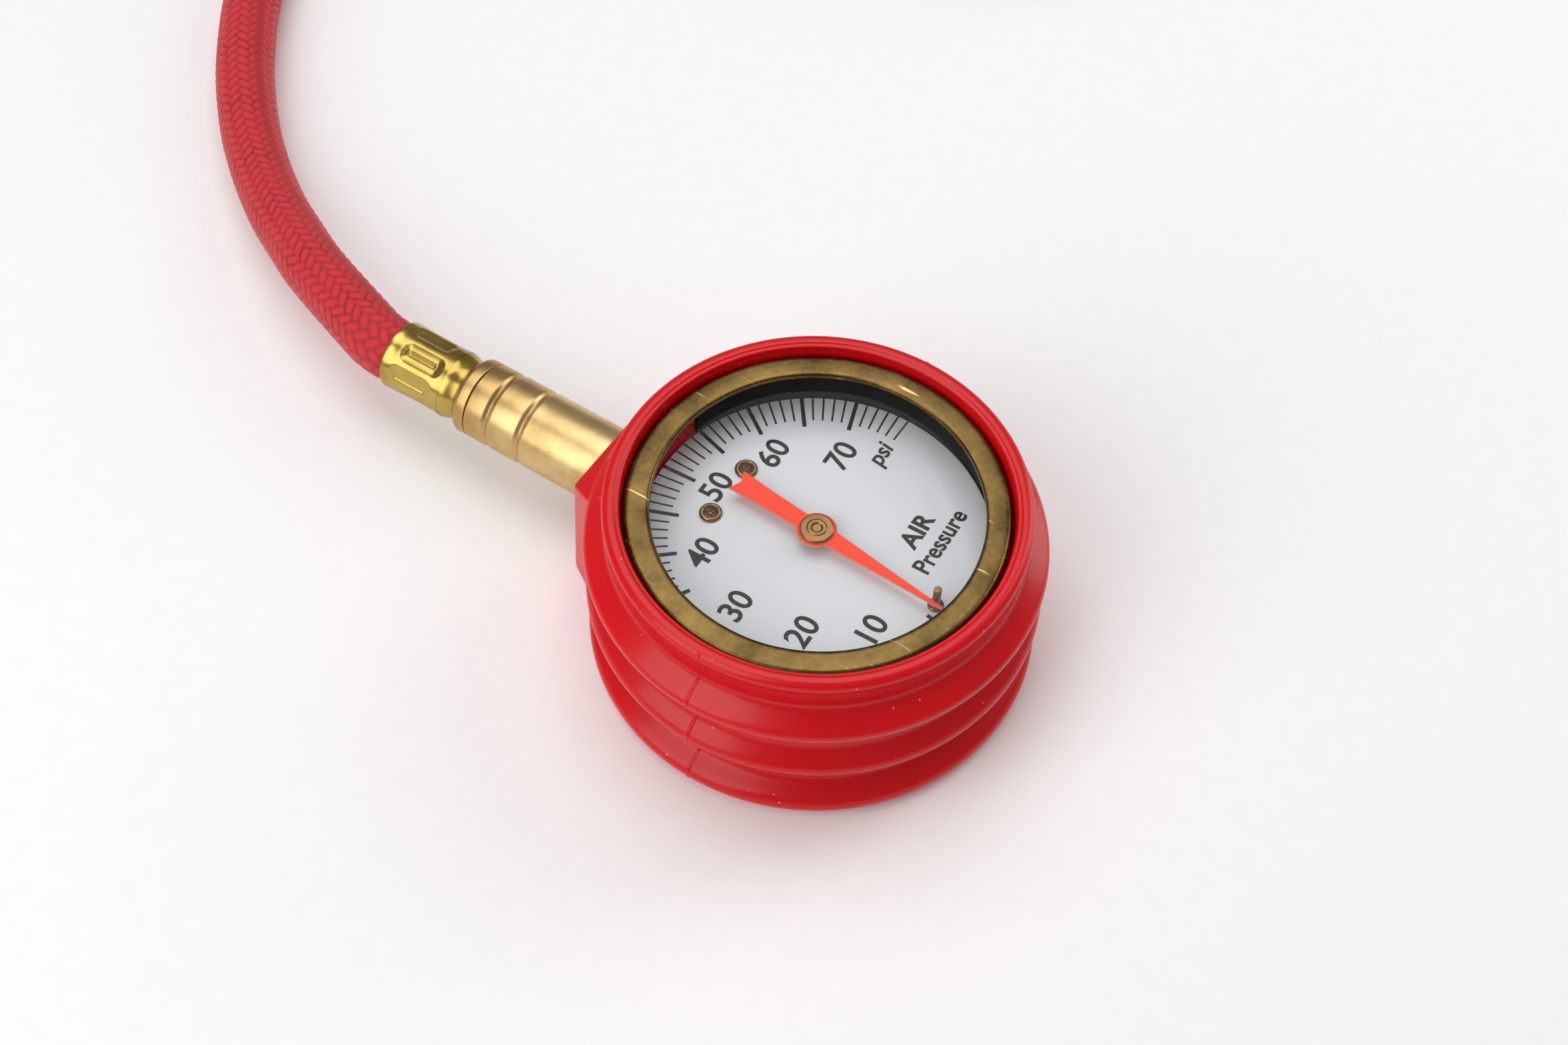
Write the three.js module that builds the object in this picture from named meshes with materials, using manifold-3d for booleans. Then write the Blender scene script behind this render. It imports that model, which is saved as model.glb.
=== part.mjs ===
// A hand tyre pressure gauge: a Bourdon-tube dial gauge in a ribbed rubber guard, with a brass stem,
// a braided hose and a swivelling right-angle chuck. Millimetres. The origin is the centre of the
// guard's flat back, +Z comes out of the dial and +Y runs along the stem.
import * as THREE from "three";
import { mergeVertices } from "three/addons/utils/BufferGeometryUtils.js";
import Module from "manifold-3d";

const wasm = await Module();
wasm.setup();

// ---- driving dimensions ----
const SEAT = 0.3; // clearance between pieces that seat on each other
const TOUCH = 0.1; // clearance of small seated parts and flat shoulders
const RUN = 0.08; // running clearance of a shaft in its hole
const LARGE_ROUND = 36; // sides of the case-sized rounds
const SMALL_ROUND = 16; // sides of the shaft-sized rounds
const TINY_ROUND = 10; // sides of screws and pins

const HEIGHT = 28; // back of the guard to the top of the bezel
const CASE_R = 24.6;
const CASE_WALL = 0.5;
const CASE_FLOOR = 0.8;
const BEZEL_SKIRT = 1.1; // wall of the bezel round the case
const BEZEL_LAP = 2.35; // how far the bezel's flange covers the case, from its outside
const BEZEL_FLANGE = 0.9;
const BEZEL_DEPTH = 4.5;
const BEZEL_EDGE = 0.7; // rounding of the outer top edge
const LENS = 1.1;

const GUARD_FLOOR = 2;
const GUARD_WALL = 1.7; // band of the guard outside the bezel
const LIP_PROUD = 0.6; // lip past the band
const LIP_RISE = 1.3; // lip above the bezel
const RIB_PROUD = 3.5; // rib past the band
const RIB_HALF = 2.9;
const RIB_ROOT = 0.9; // rib's root past the band
const RIB_CROWN = 0.5; // drop from the rib's crest to its shoulders
const FOOT_RIB_Z = 2.9;
const MIDDLE_RIB_Z = 12.2;
const TOP_RIB_DROP = 7.1; // below the bezel's top
const BOSS_PROUD = 2.3; // boss face past the ribs
const BOSS_ROOT_IN = 1.5; // boss root inside the band
const BOSS_SIDE = 3.56; // wall beside the stem, at the boss face
const BOSS_OVER = 1.16; // wall over the stem, at the boss face
const BOSS_FLARE = 4.6; // wider than that at the root, each side
const BOSS_CLIMB = 3.8; // higher than that at the root

const STEM_Z = 10.6;
const STEM_R = 5.84;
const STEM_INSIDE = 2.3; // stem's shoulder inside the case's outside
const STEM_SHOWN = 22.6; // past the boss face
const STEM_BORE_R = 1.3;
const STEM_SOCKET_R = 4.2;
const STEM_SOCKET_DEPTH = 9.4;
const STEM_GROOVES = [9.25, 3.55]; // back from the stem's end
const GROOVE_HALF = 0.75;
const GROOVE_DEPTH = 0.45;
const SPIGOT_R = 3;
const SPIGOT = 5;
const O_RING_R = 3.1;
const O_RING_T = 0.55; // radius of its section
const O_RING_ROOM = 1.8; // depth of the socket left for it
const RESTRICTOR_R = 0.3;
const RESTRICTOR = 3;
const RESTRICTOR_IN = 0.5;

const COLLAR = 2.1;
const FERRULE_R = 5.3;
const FERRULE_WALL = 0.8;
const FERRULE = 13.05;
const TAIL_R = 2.6;
const TAIL_SHORT = 1.5; // hose tail short of the ferrule mouth
const COLLAR_CHAMFER = 0.8;
const HOSE_D = 9.7;

const DIAL_DROP = 7.5; // printed face below the bezel's top
const DIAL_T = 0.5;
const DIAL_POSTS = [[-4.5, 14.1], [4.3, 14.1]];
const RIVET_HEAD_R = 1.6;
const STOP_PIN_R = 0.55;
const STOP_PIN_IN = 5.1; // from the dial's edge
const STOP_GAP = 0.13; // pin to the pointer's edge, at rest
const STOP_PIN_RISE = 3.9; // above the dial

const POINTER_RISE = 1.7; // above the dial
const POINTER_T = 0.3;
const POINTER_DEG = 265.7;
const POINTER_TIP_IN = 3.6; // from the dial's edge
const POINTER_TAIL = 13.6;
const POINTER_TIP_HALF = 0.2;
const POINTER_ROOT_HALF = 1.1;
const POINTER_TAIL_HALF = 1.75;
const POINTER_BOSS_R = 2.75;
const HUB_R = 2.35;
const HUB_T = 0.6;
const HUB_NECK_R = 1.1;
const HUB_COLLAR_R = 1.6;
const HUB_LIFT = 0.4; // collar above the dial

const ARBOR_R = 0.6;
const STAFF_R = 0.7;
const BACK_PLATE_Z = 4.9;
const FRONT_PLATE_DROP = 5; // below the dial's face
const PLATE_T = 0.8;
const PLATE_ROUND_STAFF = [[-2.4, 1.65], [-2.6, -1.75]]; // plate corners from the sector's pivot
const PLATE_SHORT = 0.4; // plates stop short of the block's outer face
const BLOCK_INSIDE = 4.7; // from the Bourdon tube's middle in to the block's inner face
const BLOCK_HALF = 6.3;
const SECTOR_AT = [-9.17, -6.42];
const MODULE = 0.35;
const PINION_TEETH = 8;
const SECTOR_TEETH = 56; // teeth of the full circle that the sector is cut from
const SECTOR_SPAN_DEG = [-10, 41]; // from the pivot, at rest
const GEAR_T = 0.8;
const GEAR_Z = 9.6;
const PINION_SPARE = 0.8; // pinion beyond each face of the sector
const TOOTH_SHARE = 0.31; // tooth thickness over pitch
const CENTRE_SPARE = 0.06; // added to the centre distance for backlash
const TAIL_ARM = 3.8;
const TAIL_DEG = 175;
const TAIL_HALF = 1.1;
const LINK_PIN_R = 0.4;
const LINK_HALF = 0.95;
const LINK_T = 0.5;
const PIN_SPARE = 0.5; // link pins beyond the link
const LINK_LOOSE = 0.22; // clearance of the link's far hole on the tube's pin

const TUBE_INSET = 6.6; // tube's middle inside the case's wall
const TUBE_T = 1.6;
const TUBE_W = 6;
const TUBE_START_DEG = 75;
const TUBE_END_DEG = -184;
const TUBE_STEPS = 32; // facets along its arc
const TIP_PIN_IN = 2.1; // from the tube's middle
const TIP_PIN_DEG = 171;
const TIP_CAP_DEG = 7;
const TIP_CAP_IN = 1; // cap inside the pin

const SCREW_HEAD_R = 1.5;
const SCREW_HEAD = 0.9;
const SCREW_R = 0.7;
const SCREW_LENGTH = 3;
const SCREW_SLOT = 0.35;
const BLOCK_SCREW_X = 5;
const BLOCK_SCREW_IN = 2.1; // from the stem's shoulder
const PILLARS = [[7.4, -5.6], [-3.4, -11.8]];
const PILLAR_R = 1.3;
const SPRING_Z = 13.2;
const SPRING_R = [1.8, 4.6];
const SPRING_TURNS = 3;
const SPRING_T = 0.18;
const SPRING_W = 0.5;
const COLLET_SPARE = 0.3; // collet beyond each edge of the spring

// The hose lies on the bench beside the gauge. Points along its middle: x, y from the ferrule's mouth,
// and height above the bench.
const HOSE_ROUTE = [
  [0, 0, 10.6], [0, 2.15, 10.6], [0.35, 4.55, 10.6], [1.3, 7.55, 10.5], [2.8, 11.85, 10.3],
  [4.9, 17.55, 9.8], [7.4, 23.55, 9], [10.5, 29.45, 7.9], [14.1, 36.05, 6.7], [18.2, 42.35, 5.6],
  [22.3, 47.95, 5], [26.4, 52.95, 4.9], [35.4, 61.95, 4.9], [45.6, 70.05, 4.9], [51.1, 73.75, 4.9],
  [62.2, 80.45, 4.9], [74.1, 85.85, 4.9], [86.4, 89.95, 4.9], [99.1, 92.75, 4.9], [112, 94.15, 4.9],
  [123, 93.95, 4.9], [133.6, 91.35, 4.9], [143.4, 86.25, 4.9], [151.6, 79.05, 4.9], [158, 70.05, 4.9],
  [162, 59.85, 4.9], [163.5, 48.95, 4.9], [163.5, 34.95, 5], [163.5, 20.95, 5.7], [163.5, 6.95, 6.9],
  [163.5, -5.05, 7.6], [163.5, -16.05, 7.8],
];
const HOSE_SECTION = 10;
const HOSE_STEPS = 44;

const CHUCK_R = 7.4;
const CHUCK_BARREL_R = 6.4;
const CHUCK_BARREL_START = 16.1; // along the hose, from its end
const CHUCK_ELBOW = 27.5;
const CHUCK_HEAD = 14; // elbow to mouth
const SWIVEL_R = 3;
const SWIVEL_FLANGE_R = 4.2;
const SWIVEL_FLANGE = 1.4;
const SWIVEL_WALL = 3.6; // barrel wall that the swivel neck passes through
const SOCKET_R = 4.15; // takes a tyre valve's mouth
const SOCKET_DEPTH = 8;
const CAP_R = 6.9;
const CAP = 2.6;
const SEAL = 1.4;
const DEPRESSOR_R = 0.9;

// ---- what follows from them ----
const DEG = Math.PI / 180;
const caseBottom = GUARD_FLOOR + SEAT;
const caseInside = CASE_R - CASE_WALL;
const lensTop = HEIGHT - BEZEL_FLANGE - SEAT;
const caseRim = lensTop - LENS - SEAT;
const skirtInside = CASE_R + SEAT;
const bezelR = skirtInside + BEZEL_SKIRT;
const bezelOpeningR = CASE_R - BEZEL_LAP;
const bezelBottom = HEIGHT - BEZEL_DEPTH;
const guardBore = CASE_R + SEAT;
const guardBezelBore = bezelR + SEAT;
const bandR = guardBezelBore + GUARD_WALL;
const lipR = bandR + LIP_PROUD;
const ribR = bandR + RIB_PROUD;
const topRibZ = HEIGHT - TOP_RIB_DROP;
const bossEnd = ribR + BOSS_PROUD;
const bossRootY = bandR - BOSS_ROOT_IN;
const bossEndHalf = STEM_R + BOSS_SIDE;
const bossRootHalf = bossEndHalf + BOSS_FLARE;
const bossEndTop = STEM_Z + STEM_R + BOSS_OVER;
const bossRootTop = bossEndTop + BOSS_CLIMB;
const stemStart = CASE_R - STEM_INSIDE;
const stemEnd = bossEnd + STEM_SHOWN;
const stemClearR = STEM_R + SEAT;
const dialR = caseInside - TOUCH;
const dialZ = HEIGHT - DIAL_DROP;
const pointerZ = dialZ + POINTER_RISE;
const pointerTip = dialR - POINTER_TIP_IN;
const stopPinAt = dialR - STOP_PIN_IN;
const stopPinTop = dialZ + STOP_PIN_RISE;
const pointerHalfAtPin = POINTER_TIP_HALF
  + (POINTER_ROOT_HALF - POINTER_TIP_HALF) * (pointerTip - stopPinAt) / (pointerTip - POINTER_BOSS_R);
const stopPinDeg = POINTER_DEG + Math.asin((pointerHalfAtPin + STOP_PIN_R + STOP_GAP) / stopPinAt) / DEG;
const frontPlateZ = dialZ - FRONT_PLATE_DROP;
const plateTop = frontPlateZ + PLATE_T;
const backPlateTop = BACK_PLATE_Z + PLATE_T;
const tubeRadius = caseInside - TUBE_INSET;
const blockY = [tubeRadius - BLOCK_INSIDE, stemStart - SEAT];
const blockScrewY = stemStart - BLOCK_SCREW_IN;
const blockScrews = [[-BLOCK_SCREW_X, blockScrewY], [BLOCK_SCREW_X, blockScrewY]];
const sectorPitch = MODULE * SECTOR_TEETH / 2;
const pinionPitch = MODULE * PINION_TEETH / 2;
const addendum = 0.8 * MODULE;
const dedendum = 1.15 * MODULE;
const toCentre = Math.atan2(-SECTOR_AT[1], -SECTOR_AT[0]);
const centreDistance = sectorPitch + pinionPitch + CENTRE_SPARE;
const sectorAt = polar(centreDistance, toCentre / DEG + 180);
const tailAt = polar(TAIL_ARM, TAIL_DEG, sectorAt);
const tipPinAt = polar(tubeRadius - TIP_PIN_IN, TIP_PIN_DEG);
const linkZ = GEAR_Z + GEAR_T + TOUCH;
const hubTop = pointerZ + POINTER_T + HUB_T;

// ---- shaping helpers ----
function polar(radius, degrees, centre = [0, 0]) {
  return [centre[0] + radius * Math.cos(degrees * DEG), centre[1] + radius * Math.sin(degrees * DEG)];
}

// A geometry as a solid for cutting and joining.
function solid(geometry) {
  const bare = geometry.clone();
  bare.deleteAttribute("normal");
  bare.deleteAttribute("uv");
  const merged = mergeVertices(bare, 1e-4);
  return new wasm.Manifold(new wasm.Mesh({
    numProp: 3,
    vertProperties: merged.attributes.position.array,
    triVerts: new Uint32Array(merged.index.array),
  }));
}

function geometryOf(body) {
  const mesh = body.getMesh();
  const geometry = new THREE.BufferGeometry();
  geometry.setAttribute("position", new THREE.BufferAttribute(mesh.vertProperties, 3));
  geometry.setIndex(new THREE.BufferAttribute(mesh.triVerts, 1));
  geometry.computeVertexNormals();
  return geometry;
}

// Turned about +Y. The profile is [radius, height] pairs round the outline, anticlockwise.
function turnedY(profile, sides = SMALL_ROUND) {
  const points = profile.map(([r, h]) => new THREE.Vector2(r, h));
  if (profile.every(([r]) => r > 0)) points.push(points[0].clone());
  return new THREE.LatheGeometry(points, sides);
}

function turned(profile, sides = SMALL_ROUND) {
  return turnedY(profile, sides).rotateX(Math.PI / 2);
}

const disc = (r, low, high, sides) => turned([[0, low], [r, low], [r, high], [0, high]], sides);

const ring = (inner, outer, low, high, sides) =>
  turned([[inner, low], [outer, low], [outer, high], [inner, high]], sides);

const rod = (r, start, end, sides) =>
  turnedY([[0, start], [r, start], [r, end], [0, end]], sides).translate(0, 0, STEM_Z);

const tube = (inner, outer, start, end, sides) =>
  turnedY([[inner, start], [outer, start], [outer, end], [inner, end]], sides).translate(0, 0, STEM_Z);

function block(x0, x1, y0, y1, z0, z1) {
  const box = new THREE.BoxGeometry(x1 - x0, y1 - y0, z1 - z0);
  return box.translate((x0 + x1) / 2, (y0 + y1) / 2, (z0 + z1) / 2);
}

// A flat piece from an outline of [x, y] points, with round holes [x, y, radius].
function plate(outline, low, high, holes = []) {
  const shape = new THREE.Shape(outline.map(([x, y]) => new THREE.Vector2(x, y)));
  for (const [x, y, r] of holes) shape.holes.push(new THREE.Path().absarc(x, y, r, 0, 2 * Math.PI));
  const geometry = new THREE.ExtrudeGeometry(shape, {
    depth: high - low, bevelEnabled: false, curveSegments: TINY_ROUND,
  });
  return geometry.translate(0, 0, low);
}

function arcPoints(radius, fromDeg, toDeg, steps, centre = [0, 0]) {
  return Array.from({ length: steps + 1 }, (_, i) =>
    polar(radius, fromDeg + (toDeg - fromDeg) * i / steps, centre));
}

// A bar with round ends between two points.
function bar(from, to, half, low, high) {
  const along = Math.atan2(to[1] - from[1], to[0] - from[0]) / DEG;
  const outline = [
    ...arcPoints(half, along + 90, along + 270, 6, from),
    ...arcPoints(half, along - 90, along + 90, 6, to),
  ];
  return plate(outline, low, high);
}

const assembly = new THREE.Group();

function add(name, shape, colour, roughness, metalness, parent = assembly) {
  const geometry = shape.isBufferGeometry ? shape : geometryOf(shape);
  const material = new THREE.MeshStandardMaterial({ color: colour, roughness, metalness });
  const mesh = new THREE.Mesh(geometry, material);
  mesh.name = name;
  parent.add(mesh);
}

const BRASS = ["#a67c3a", 0.35, 1];
const TARNISHED_BRASS = ["#93773c", 0.25, 1];
const GILT = ["#b9a446", 0.25, 1];
const RUBBER = ["#e01a22", 0.4, 0];
const BRAID = ["#cc3038", 0.85, 0];
const BLACK = ["#141414", 0.3, 0];
const STEEL = ["#b8babc", 0.35, 1];

// ---- rubber guard, case, bezel and lens ----
function rubberGuard() {
  const rib = (z) => [
    [bandR + RIB_ROOT, z - RIB_HALF], [ribR - RIB_CROWN, z - RIB_HALF / 2], [ribR, z],
    [ribR - RIB_CROWN, z + RIB_HALF / 2], [bandR + RIB_ROOT, z + RIB_HALF],
  ];
  const lipTop = HEIGHT + LIP_RISE;
  const body = solid(turned([
    [0, 0], [ribR - 1.8, 0], [ribR - RIB_CROWN, FOOT_RIB_Z - RIB_HALF / 2], ...rib(FOOT_RIB_Z).slice(2),
    [bandR, (FOOT_RIB_Z + MIDDLE_RIB_Z) / 2],
    ...rib(MIDDLE_RIB_Z), ...rib(topRibZ),
    [bandR, topRibZ + RIB_HALF + RIB_ROOT],
    [lipR, lipTop - 2], [lipR, lipTop - 0.9], [lipR - 0.6, lipTop - 0.2],
    [lipR - 1.2, lipTop], [guardBezelBore + 0.4, lipTop - 0.5], [guardBezelBore, HEIGHT - 0.6],
    [guardBezelBore, bezelBottom - SEAT], [guardBore, bezelBottom - SEAT],
    [guardBore, GUARD_FLOOR], [0, GUARD_FLOOR],
  ], LARGE_ROUND));
  const slope = [
    [bossRootY - 2, 0], [bossEnd, 0], [bossEnd, bossEndTop], [bossRootY - 2, bossRootTop],
  ];
  const side = plate(slope, -bossRootHalf, bossRootHalf);
  side.applyMatrix4(new THREE.Matrix4().makeBasis(
    new THREE.Vector3(0, 1, 0), new THREE.Vector3(0, 0, 1), new THREE.Vector3(1, 0, 0)));
  const plan = plate([
    [-bossRootHalf, bossRootY - 2], [bossRootHalf, bossRootY - 2], [bossRootHalf, bossRootY],
    [bossEndHalf, bossEnd], [-bossEndHalf, bossEnd], [-bossRootHalf, bossRootY],
  ], 0, bossRootTop);
  const bossRoom = solid(block(-bossRootHalf, bossRootHalf, bossRootY - 2, ribR + 1, 0, bossRootTop + 1));
  const wall = solid(ring(guardBore, bandR, 0, bossRootTop + 1, LARGE_ROUND));
  const boss = solid(side).intersect(solid(plan)).subtract(solid(disc(guardBore, -1, HEIGHT, LARGE_ROUND)));
  const key = solid(turned([
    [caseInside + 0.1, STEM_Z + stemClearR + SEAT], [guardBore + 0.5, STEM_Z + stemClearR + SEAT],
    [guardBore + 0.5, bezelBottom - SEAT], [CASE_R, bezelBottom - SEAT],
    [CASE_R, caseRim - SEAT], [caseInside + 0.1, caseRim - SEAT],
  ], LARGE_ROUND)).intersect(solid(block(-STEM_R, STEM_R, 0, bossEnd, 0, HEIGHT)));
  const floor = solid(disc(guardBore + 1, -1, GUARD_FLOOR, LARGE_ROUND));
  return body.subtract(bossRoom.subtract(wall.add(floor)))
    .add(boss).add(key).subtract(solid(rod(stemClearR, CASE_R - 2, bossEnd + 1)));
}

function caseCup() {
  const cup = turned([
    [0, caseBottom], [CASE_R - 0.8, caseBottom], [CASE_R, caseBottom + 0.8], [CASE_R, caseRim],
    [caseInside, caseRim], [caseInside, caseBottom + CASE_FLOOR], [0, caseBottom + CASE_FLOOR],
  ], LARGE_ROUND);
  const slot = solid(rod(stemClearR, caseInside - 3, CASE_R + 1))
    .add(solid(block(-stemClearR, stemClearR, caseInside - 3, CASE_R + 1, STEM_Z, HEIGHT)));
  return solid(cup).subtract(slot);
}

const bezel = turned([
  [skirtInside, bezelBottom], [bezelR, bezelBottom], [bezelR, HEIGHT - BEZEL_EDGE],
  [bezelR - BEZEL_EDGE * 0.3, HEIGHT - BEZEL_EDGE * 0.3], [bezelR - BEZEL_EDGE, HEIGHT],
  [bezelOpeningR + 0.3, HEIGHT], [bezelOpeningR, HEIGHT - 0.3],
  [bezelOpeningR, HEIGHT - BEZEL_FLANGE], [skirtInside, HEIGHT - BEZEL_FLANGE],
], LARGE_ROUND);

add("rubber_guard", rubberGuard(), ...RUBBER);
add("case_cup", caseCup(), ...BLACK);
add("bezel", bezel, ...TARNISHED_BRASS);
add("lens", disc(CASE_R, lensTop - LENS, lensTop, LARGE_ROUND), "#eef3f3", 0.03, 0);

// ---- stem, hose fitting, ferrule ----
function stemBody() {
  const grooves = STEM_GROOVES.map((back) => stemEnd - back).flatMap((y) => [
    [STEM_R, y - GROOVE_HALF], [STEM_R - GROOVE_DEPTH, y], [STEM_R, y + GROOVE_HALF],
  ]);
  const socketStart = stemEnd - STEM_SOCKET_DEPTH;
  return turnedY([
    [STEM_BORE_R, stemStart - SPIGOT], [SPIGOT_R, stemStart - SPIGOT], [SPIGOT_R, stemStart],
    [STEM_R, stemStart], ...grooves, [STEM_R, stemEnd],
    [STEM_SOCKET_R, stemEnd], [STEM_SOCKET_R, socketStart], [STEM_BORE_R, socketStart],
  ]).translate(0, 0, STEM_Z);
}

const collarStart = stemEnd + SEAT;
const collarEnd = collarStart + COLLAR;
const ferruleStart = collarEnd + SEAT;
const ferruleEnd = ferruleStart + FERRULE;
const hoseStart = ferruleEnd + SEAT;

// Crimped sleeve along +Y from its collar end, with a short neck and a flared mouth.
const ferruleProfile = (start) => [
  [FERRULE_R - FERRULE_WALL - 0.6, start], [FERRULE_R - 0.7, start], [FERRULE_R - 0.1, start + 2],
  [FERRULE_R, start + FERRULE - 0.6], [FERRULE_R - 0.2, start + FERRULE],
  [FERRULE_R - FERRULE_WALL, start + FERRULE], [FERRULE_R - FERRULE_WALL, start + 2],
  [FERRULE_R - FERRULE_WALL - 0.6, start + 1.4],
];

const spigotEnd = stemEnd - STEM_SOCKET_DEPTH + O_RING_ROOM;
const tailEnd = ferruleEnd - TAIL_SHORT;
const hoseFitting = turnedY([
  [STEM_BORE_R, spigotEnd], [STEM_SOCKET_R - SEAT, spigotEnd],
  [STEM_SOCKET_R - SEAT, collarStart], [STEM_R, collarStart], [STEM_R, collarEnd - COLLAR_CHAMFER],
  [STEM_R - 0.6, collarEnd], [TAIL_R, collarEnd], [TAIL_R, tailEnd], [STEM_BORE_R, tailEnd],
]).translate(0, 0, STEM_Z);

const oRing = new THREE.TorusGeometry(O_RING_R, O_RING_T, 6, SMALL_ROUND).rotateX(Math.PI / 2)
  .translate(0, stemEnd - STEM_SOCKET_DEPTH + O_RING_ROOM / 2, STEM_Z);

add("stem_body", stemBody(), ...BRASS);
add("stem_o_ring", oRing, ...BLACK);
const restrictorStart = stemStart - SPIGOT + RESTRICTOR_IN;
add("stem_restrictor", tube(RESTRICTOR_R, STEM_BORE_R - TOUCH, restrictorStart, restrictorStart + RESTRICTOR,
  TINY_ROUND), ...BRASS);
add("hose_fitting", hoseFitting, ...BRASS);
add("stem_ferrule", turnedY(ferruleProfile(ferruleStart)).translate(0, 0, STEM_Z), ...GILT);

// ---- hose ----
function hose() {
  const route = HOSE_ROUTE.map(([x, y, z]) => new THREE.Vector3(x, y + hoseStart, z));
  const path = new THREE.CatmullRomCurve3(route, false, "centripetal");
  const section = new THREE.Shape(arcPoints(HOSE_D / 2, 0, 360 - 360 / HOSE_SECTION, HOSE_SECTION - 1)
    .map(([x, y]) => new THREE.Vector2(x, y)));
  return new THREE.ExtrudeGeometry(section, { steps: HOSE_STEPS, extrudePath: path });
}

add("hose", hose(), ...BRAID);

// ---- pressure socket and Bourdon tube ----
const blockBottom = backPlateTop + TOUCH;
const blockTop = frontPlateZ - TOUCH;
const tubeLow = STEM_Z - TUBE_W / 2;
const tubeHigh = STEM_Z + TUBE_W / 2;

function tubeOutline(spare, startDeg, endDeg, steps) {
  const half = TUBE_T / 2 + spare;
  return [
    ...arcPoints(tubeRadius + half, endDeg, startDeg, steps),
    ...arcPoints(tubeRadius - half, startDeg, endDeg, steps),
  ];
}

function pressureBlock() {
  const body = solid(block(-BLOCK_HALF, BLOCK_HALF, ...blockY, blockBottom, blockTop));
  const tubeSlot = plate(tubeOutline(SEAT, TUBE_START_DEG + 2, 50, 6), tubeLow - SEAT, tubeHigh + SEAT);
  const spigotHole = rod(SPIGOT_R + SEAT, stemStart - SPIGOT - SEAT, blockY[1] + 1);
  const screwHoles = blockScrews.map(([x, y]) =>
    solid(disc(SCREW_R + TOUCH, blockTop - SCREW_LENGTH, blockTop + 1, TINY_ROUND).translate(x, y, 0)));
  return screwHoles.reduce((left, hole) => left.subtract(hole),
    body.subtract(solid(tubeSlot)).subtract(solid(spigotHole)));
}

// The free end of the tube: a closing block with a lug that carries the link's pin.
function tipCap() {
  const from = TUBE_END_DEG - 1;
  const half = TUBE_T / 2 + 0.3;
  const outline = [
    ...arcPoints(tubeRadius + half, from - TIP_CAP_DEG, from, 3),
    ...arcPoints(tubeRadius - TIP_PIN_IN - TIP_CAP_IN, from, from - TIP_CAP_DEG, 3),
  ];
  const lug = bar(tipPinAt, polar(tubeRadius, TIP_PIN_DEG), 1, tubeLow, linkZ - TOUCH);
  const pin = disc(LINK_PIN_R, tubeLow + 1, linkZ + LINK_T + PIN_SPARE, TINY_ROUND)
    .translate(...tipPinAt, 0);
  return solid(plate(outline, tubeLow, linkZ - TOUCH)).add(solid(lug)).add(solid(pin));
}

add("pressure_block", pressureBlock(), ...BRASS);
add("bourdon_tube", plate(tubeOutline(0, TUBE_START_DEG, TUBE_END_DEG, TUBE_STEPS), tubeLow, tubeHigh),
  "#c08a4e", 0.3, 1);
add("tube_tip", tipCap(), ...BRASS);

// ---- movement ----
const gearBottom = GEAR_Z - PINION_SPARE;
const gearTop = GEAR_Z + GEAR_T + PINION_SPARE;

// Tooth outline points of a gear, tooth after tooth, anticlockwise.
function toothPoints(teeth, pitchRadius, first, count, phaseDeg) {
  const pitchDeg = 360 / teeth;
  const points = [];
  for (let i = first; i < first + count; i += 1) {
    const middle = phaseDeg + i * pitchDeg;
    const halfDeg = TOOTH_SHARE * pitchDeg / 2;
    const slant = 0.45 * halfDeg;
    points.push(
      polar(pitchRadius - dedendum, middle - halfDeg - slant),
      polar(pitchRadius + addendum, middle - halfDeg + slant),
      polar(pitchRadius + addendum, middle + halfDeg - slant),
      polar(pitchRadius - dedendum, middle + halfDeg + slant),
    );
  }
  return points;
}

function pinionArbor() {
  const phase = toCentre / DEG + 180 + 180 / PINION_TEETH;
  const leaves = plate(toothPoints(PINION_TEETH, pinionPitch, 0, PINION_TEETH, phase), gearBottom, gearTop);
  const shaft = disc(ARBOR_R, BACK_PLATE_Z - 0.2, hubTop - 0.2, TINY_ROUND);
  return solid(shaft).add(solid(leaves));
}

function sectorGear() {
  const pitchDeg = 360 / SECTOR_TEETH;
  const middle = toCentre / DEG;
  const first = Math.ceil((SECTOR_SPAN_DEG[0] - middle) / pitchDeg);
  const last = Math.floor((SECTOR_SPAN_DEG[1] - middle) / pitchDeg);
  const rim = toothPoints(SECTOR_TEETH, sectorPitch, first, last - first + 1, middle);
  const fan = plate([...rim, [0, 0]], GEAR_Z, GEAR_Z + GEAR_T);
  const from = SECTOR_SPAN_DEG[0] + 8;
  const to = SECTOR_SPAN_DEG[1] - 8;
  const opening = plate([...arcPoints(sectorPitch - 2, from, to, 6), ...arcPoints(4, to, from, 3)],
    GEAR_Z - 1, GEAR_Z + GEAR_T + 1);
  const boss = disc(2, GEAR_Z, GEAR_Z + GEAR_T, SMALL_ROUND);
  const tail = bar([0, 0], polar(TAIL_ARM, TAIL_DEG), TAIL_HALF, GEAR_Z, GEAR_Z + GEAR_T);
  const pin = disc(LINK_PIN_R, GEAR_Z, linkZ + LINK_T + PIN_SPARE, TINY_ROUND)
    .translate(...polar(TAIL_ARM, TAIL_DEG), 0);
  return solid(fan).subtract(solid(opening)).add(solid(boss)).add(solid(tail)).add(solid(pin))
    .subtract(solid(disc(STAFF_R + TOUCH, GEAR_Z - 1, GEAR_Z + GEAR_T + 1, TINY_ROUND)))
    .translate(...sectorAt, 0);
}

function connectingLink() {
  const top = linkZ + LINK_T;
  const hole = (r, at) => solid(disc(r, linkZ - 1, top + 1, TINY_ROUND).translate(...at, 0));
  return solid(bar(tailAt, tipPinAt, LINK_HALF, linkZ, top))
    .subtract(hole(LINK_PIN_R + RUN, tailAt))
    .subtract(hole(LINK_PIN_R + LINK_LOOSE, tipPinAt));
}

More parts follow.
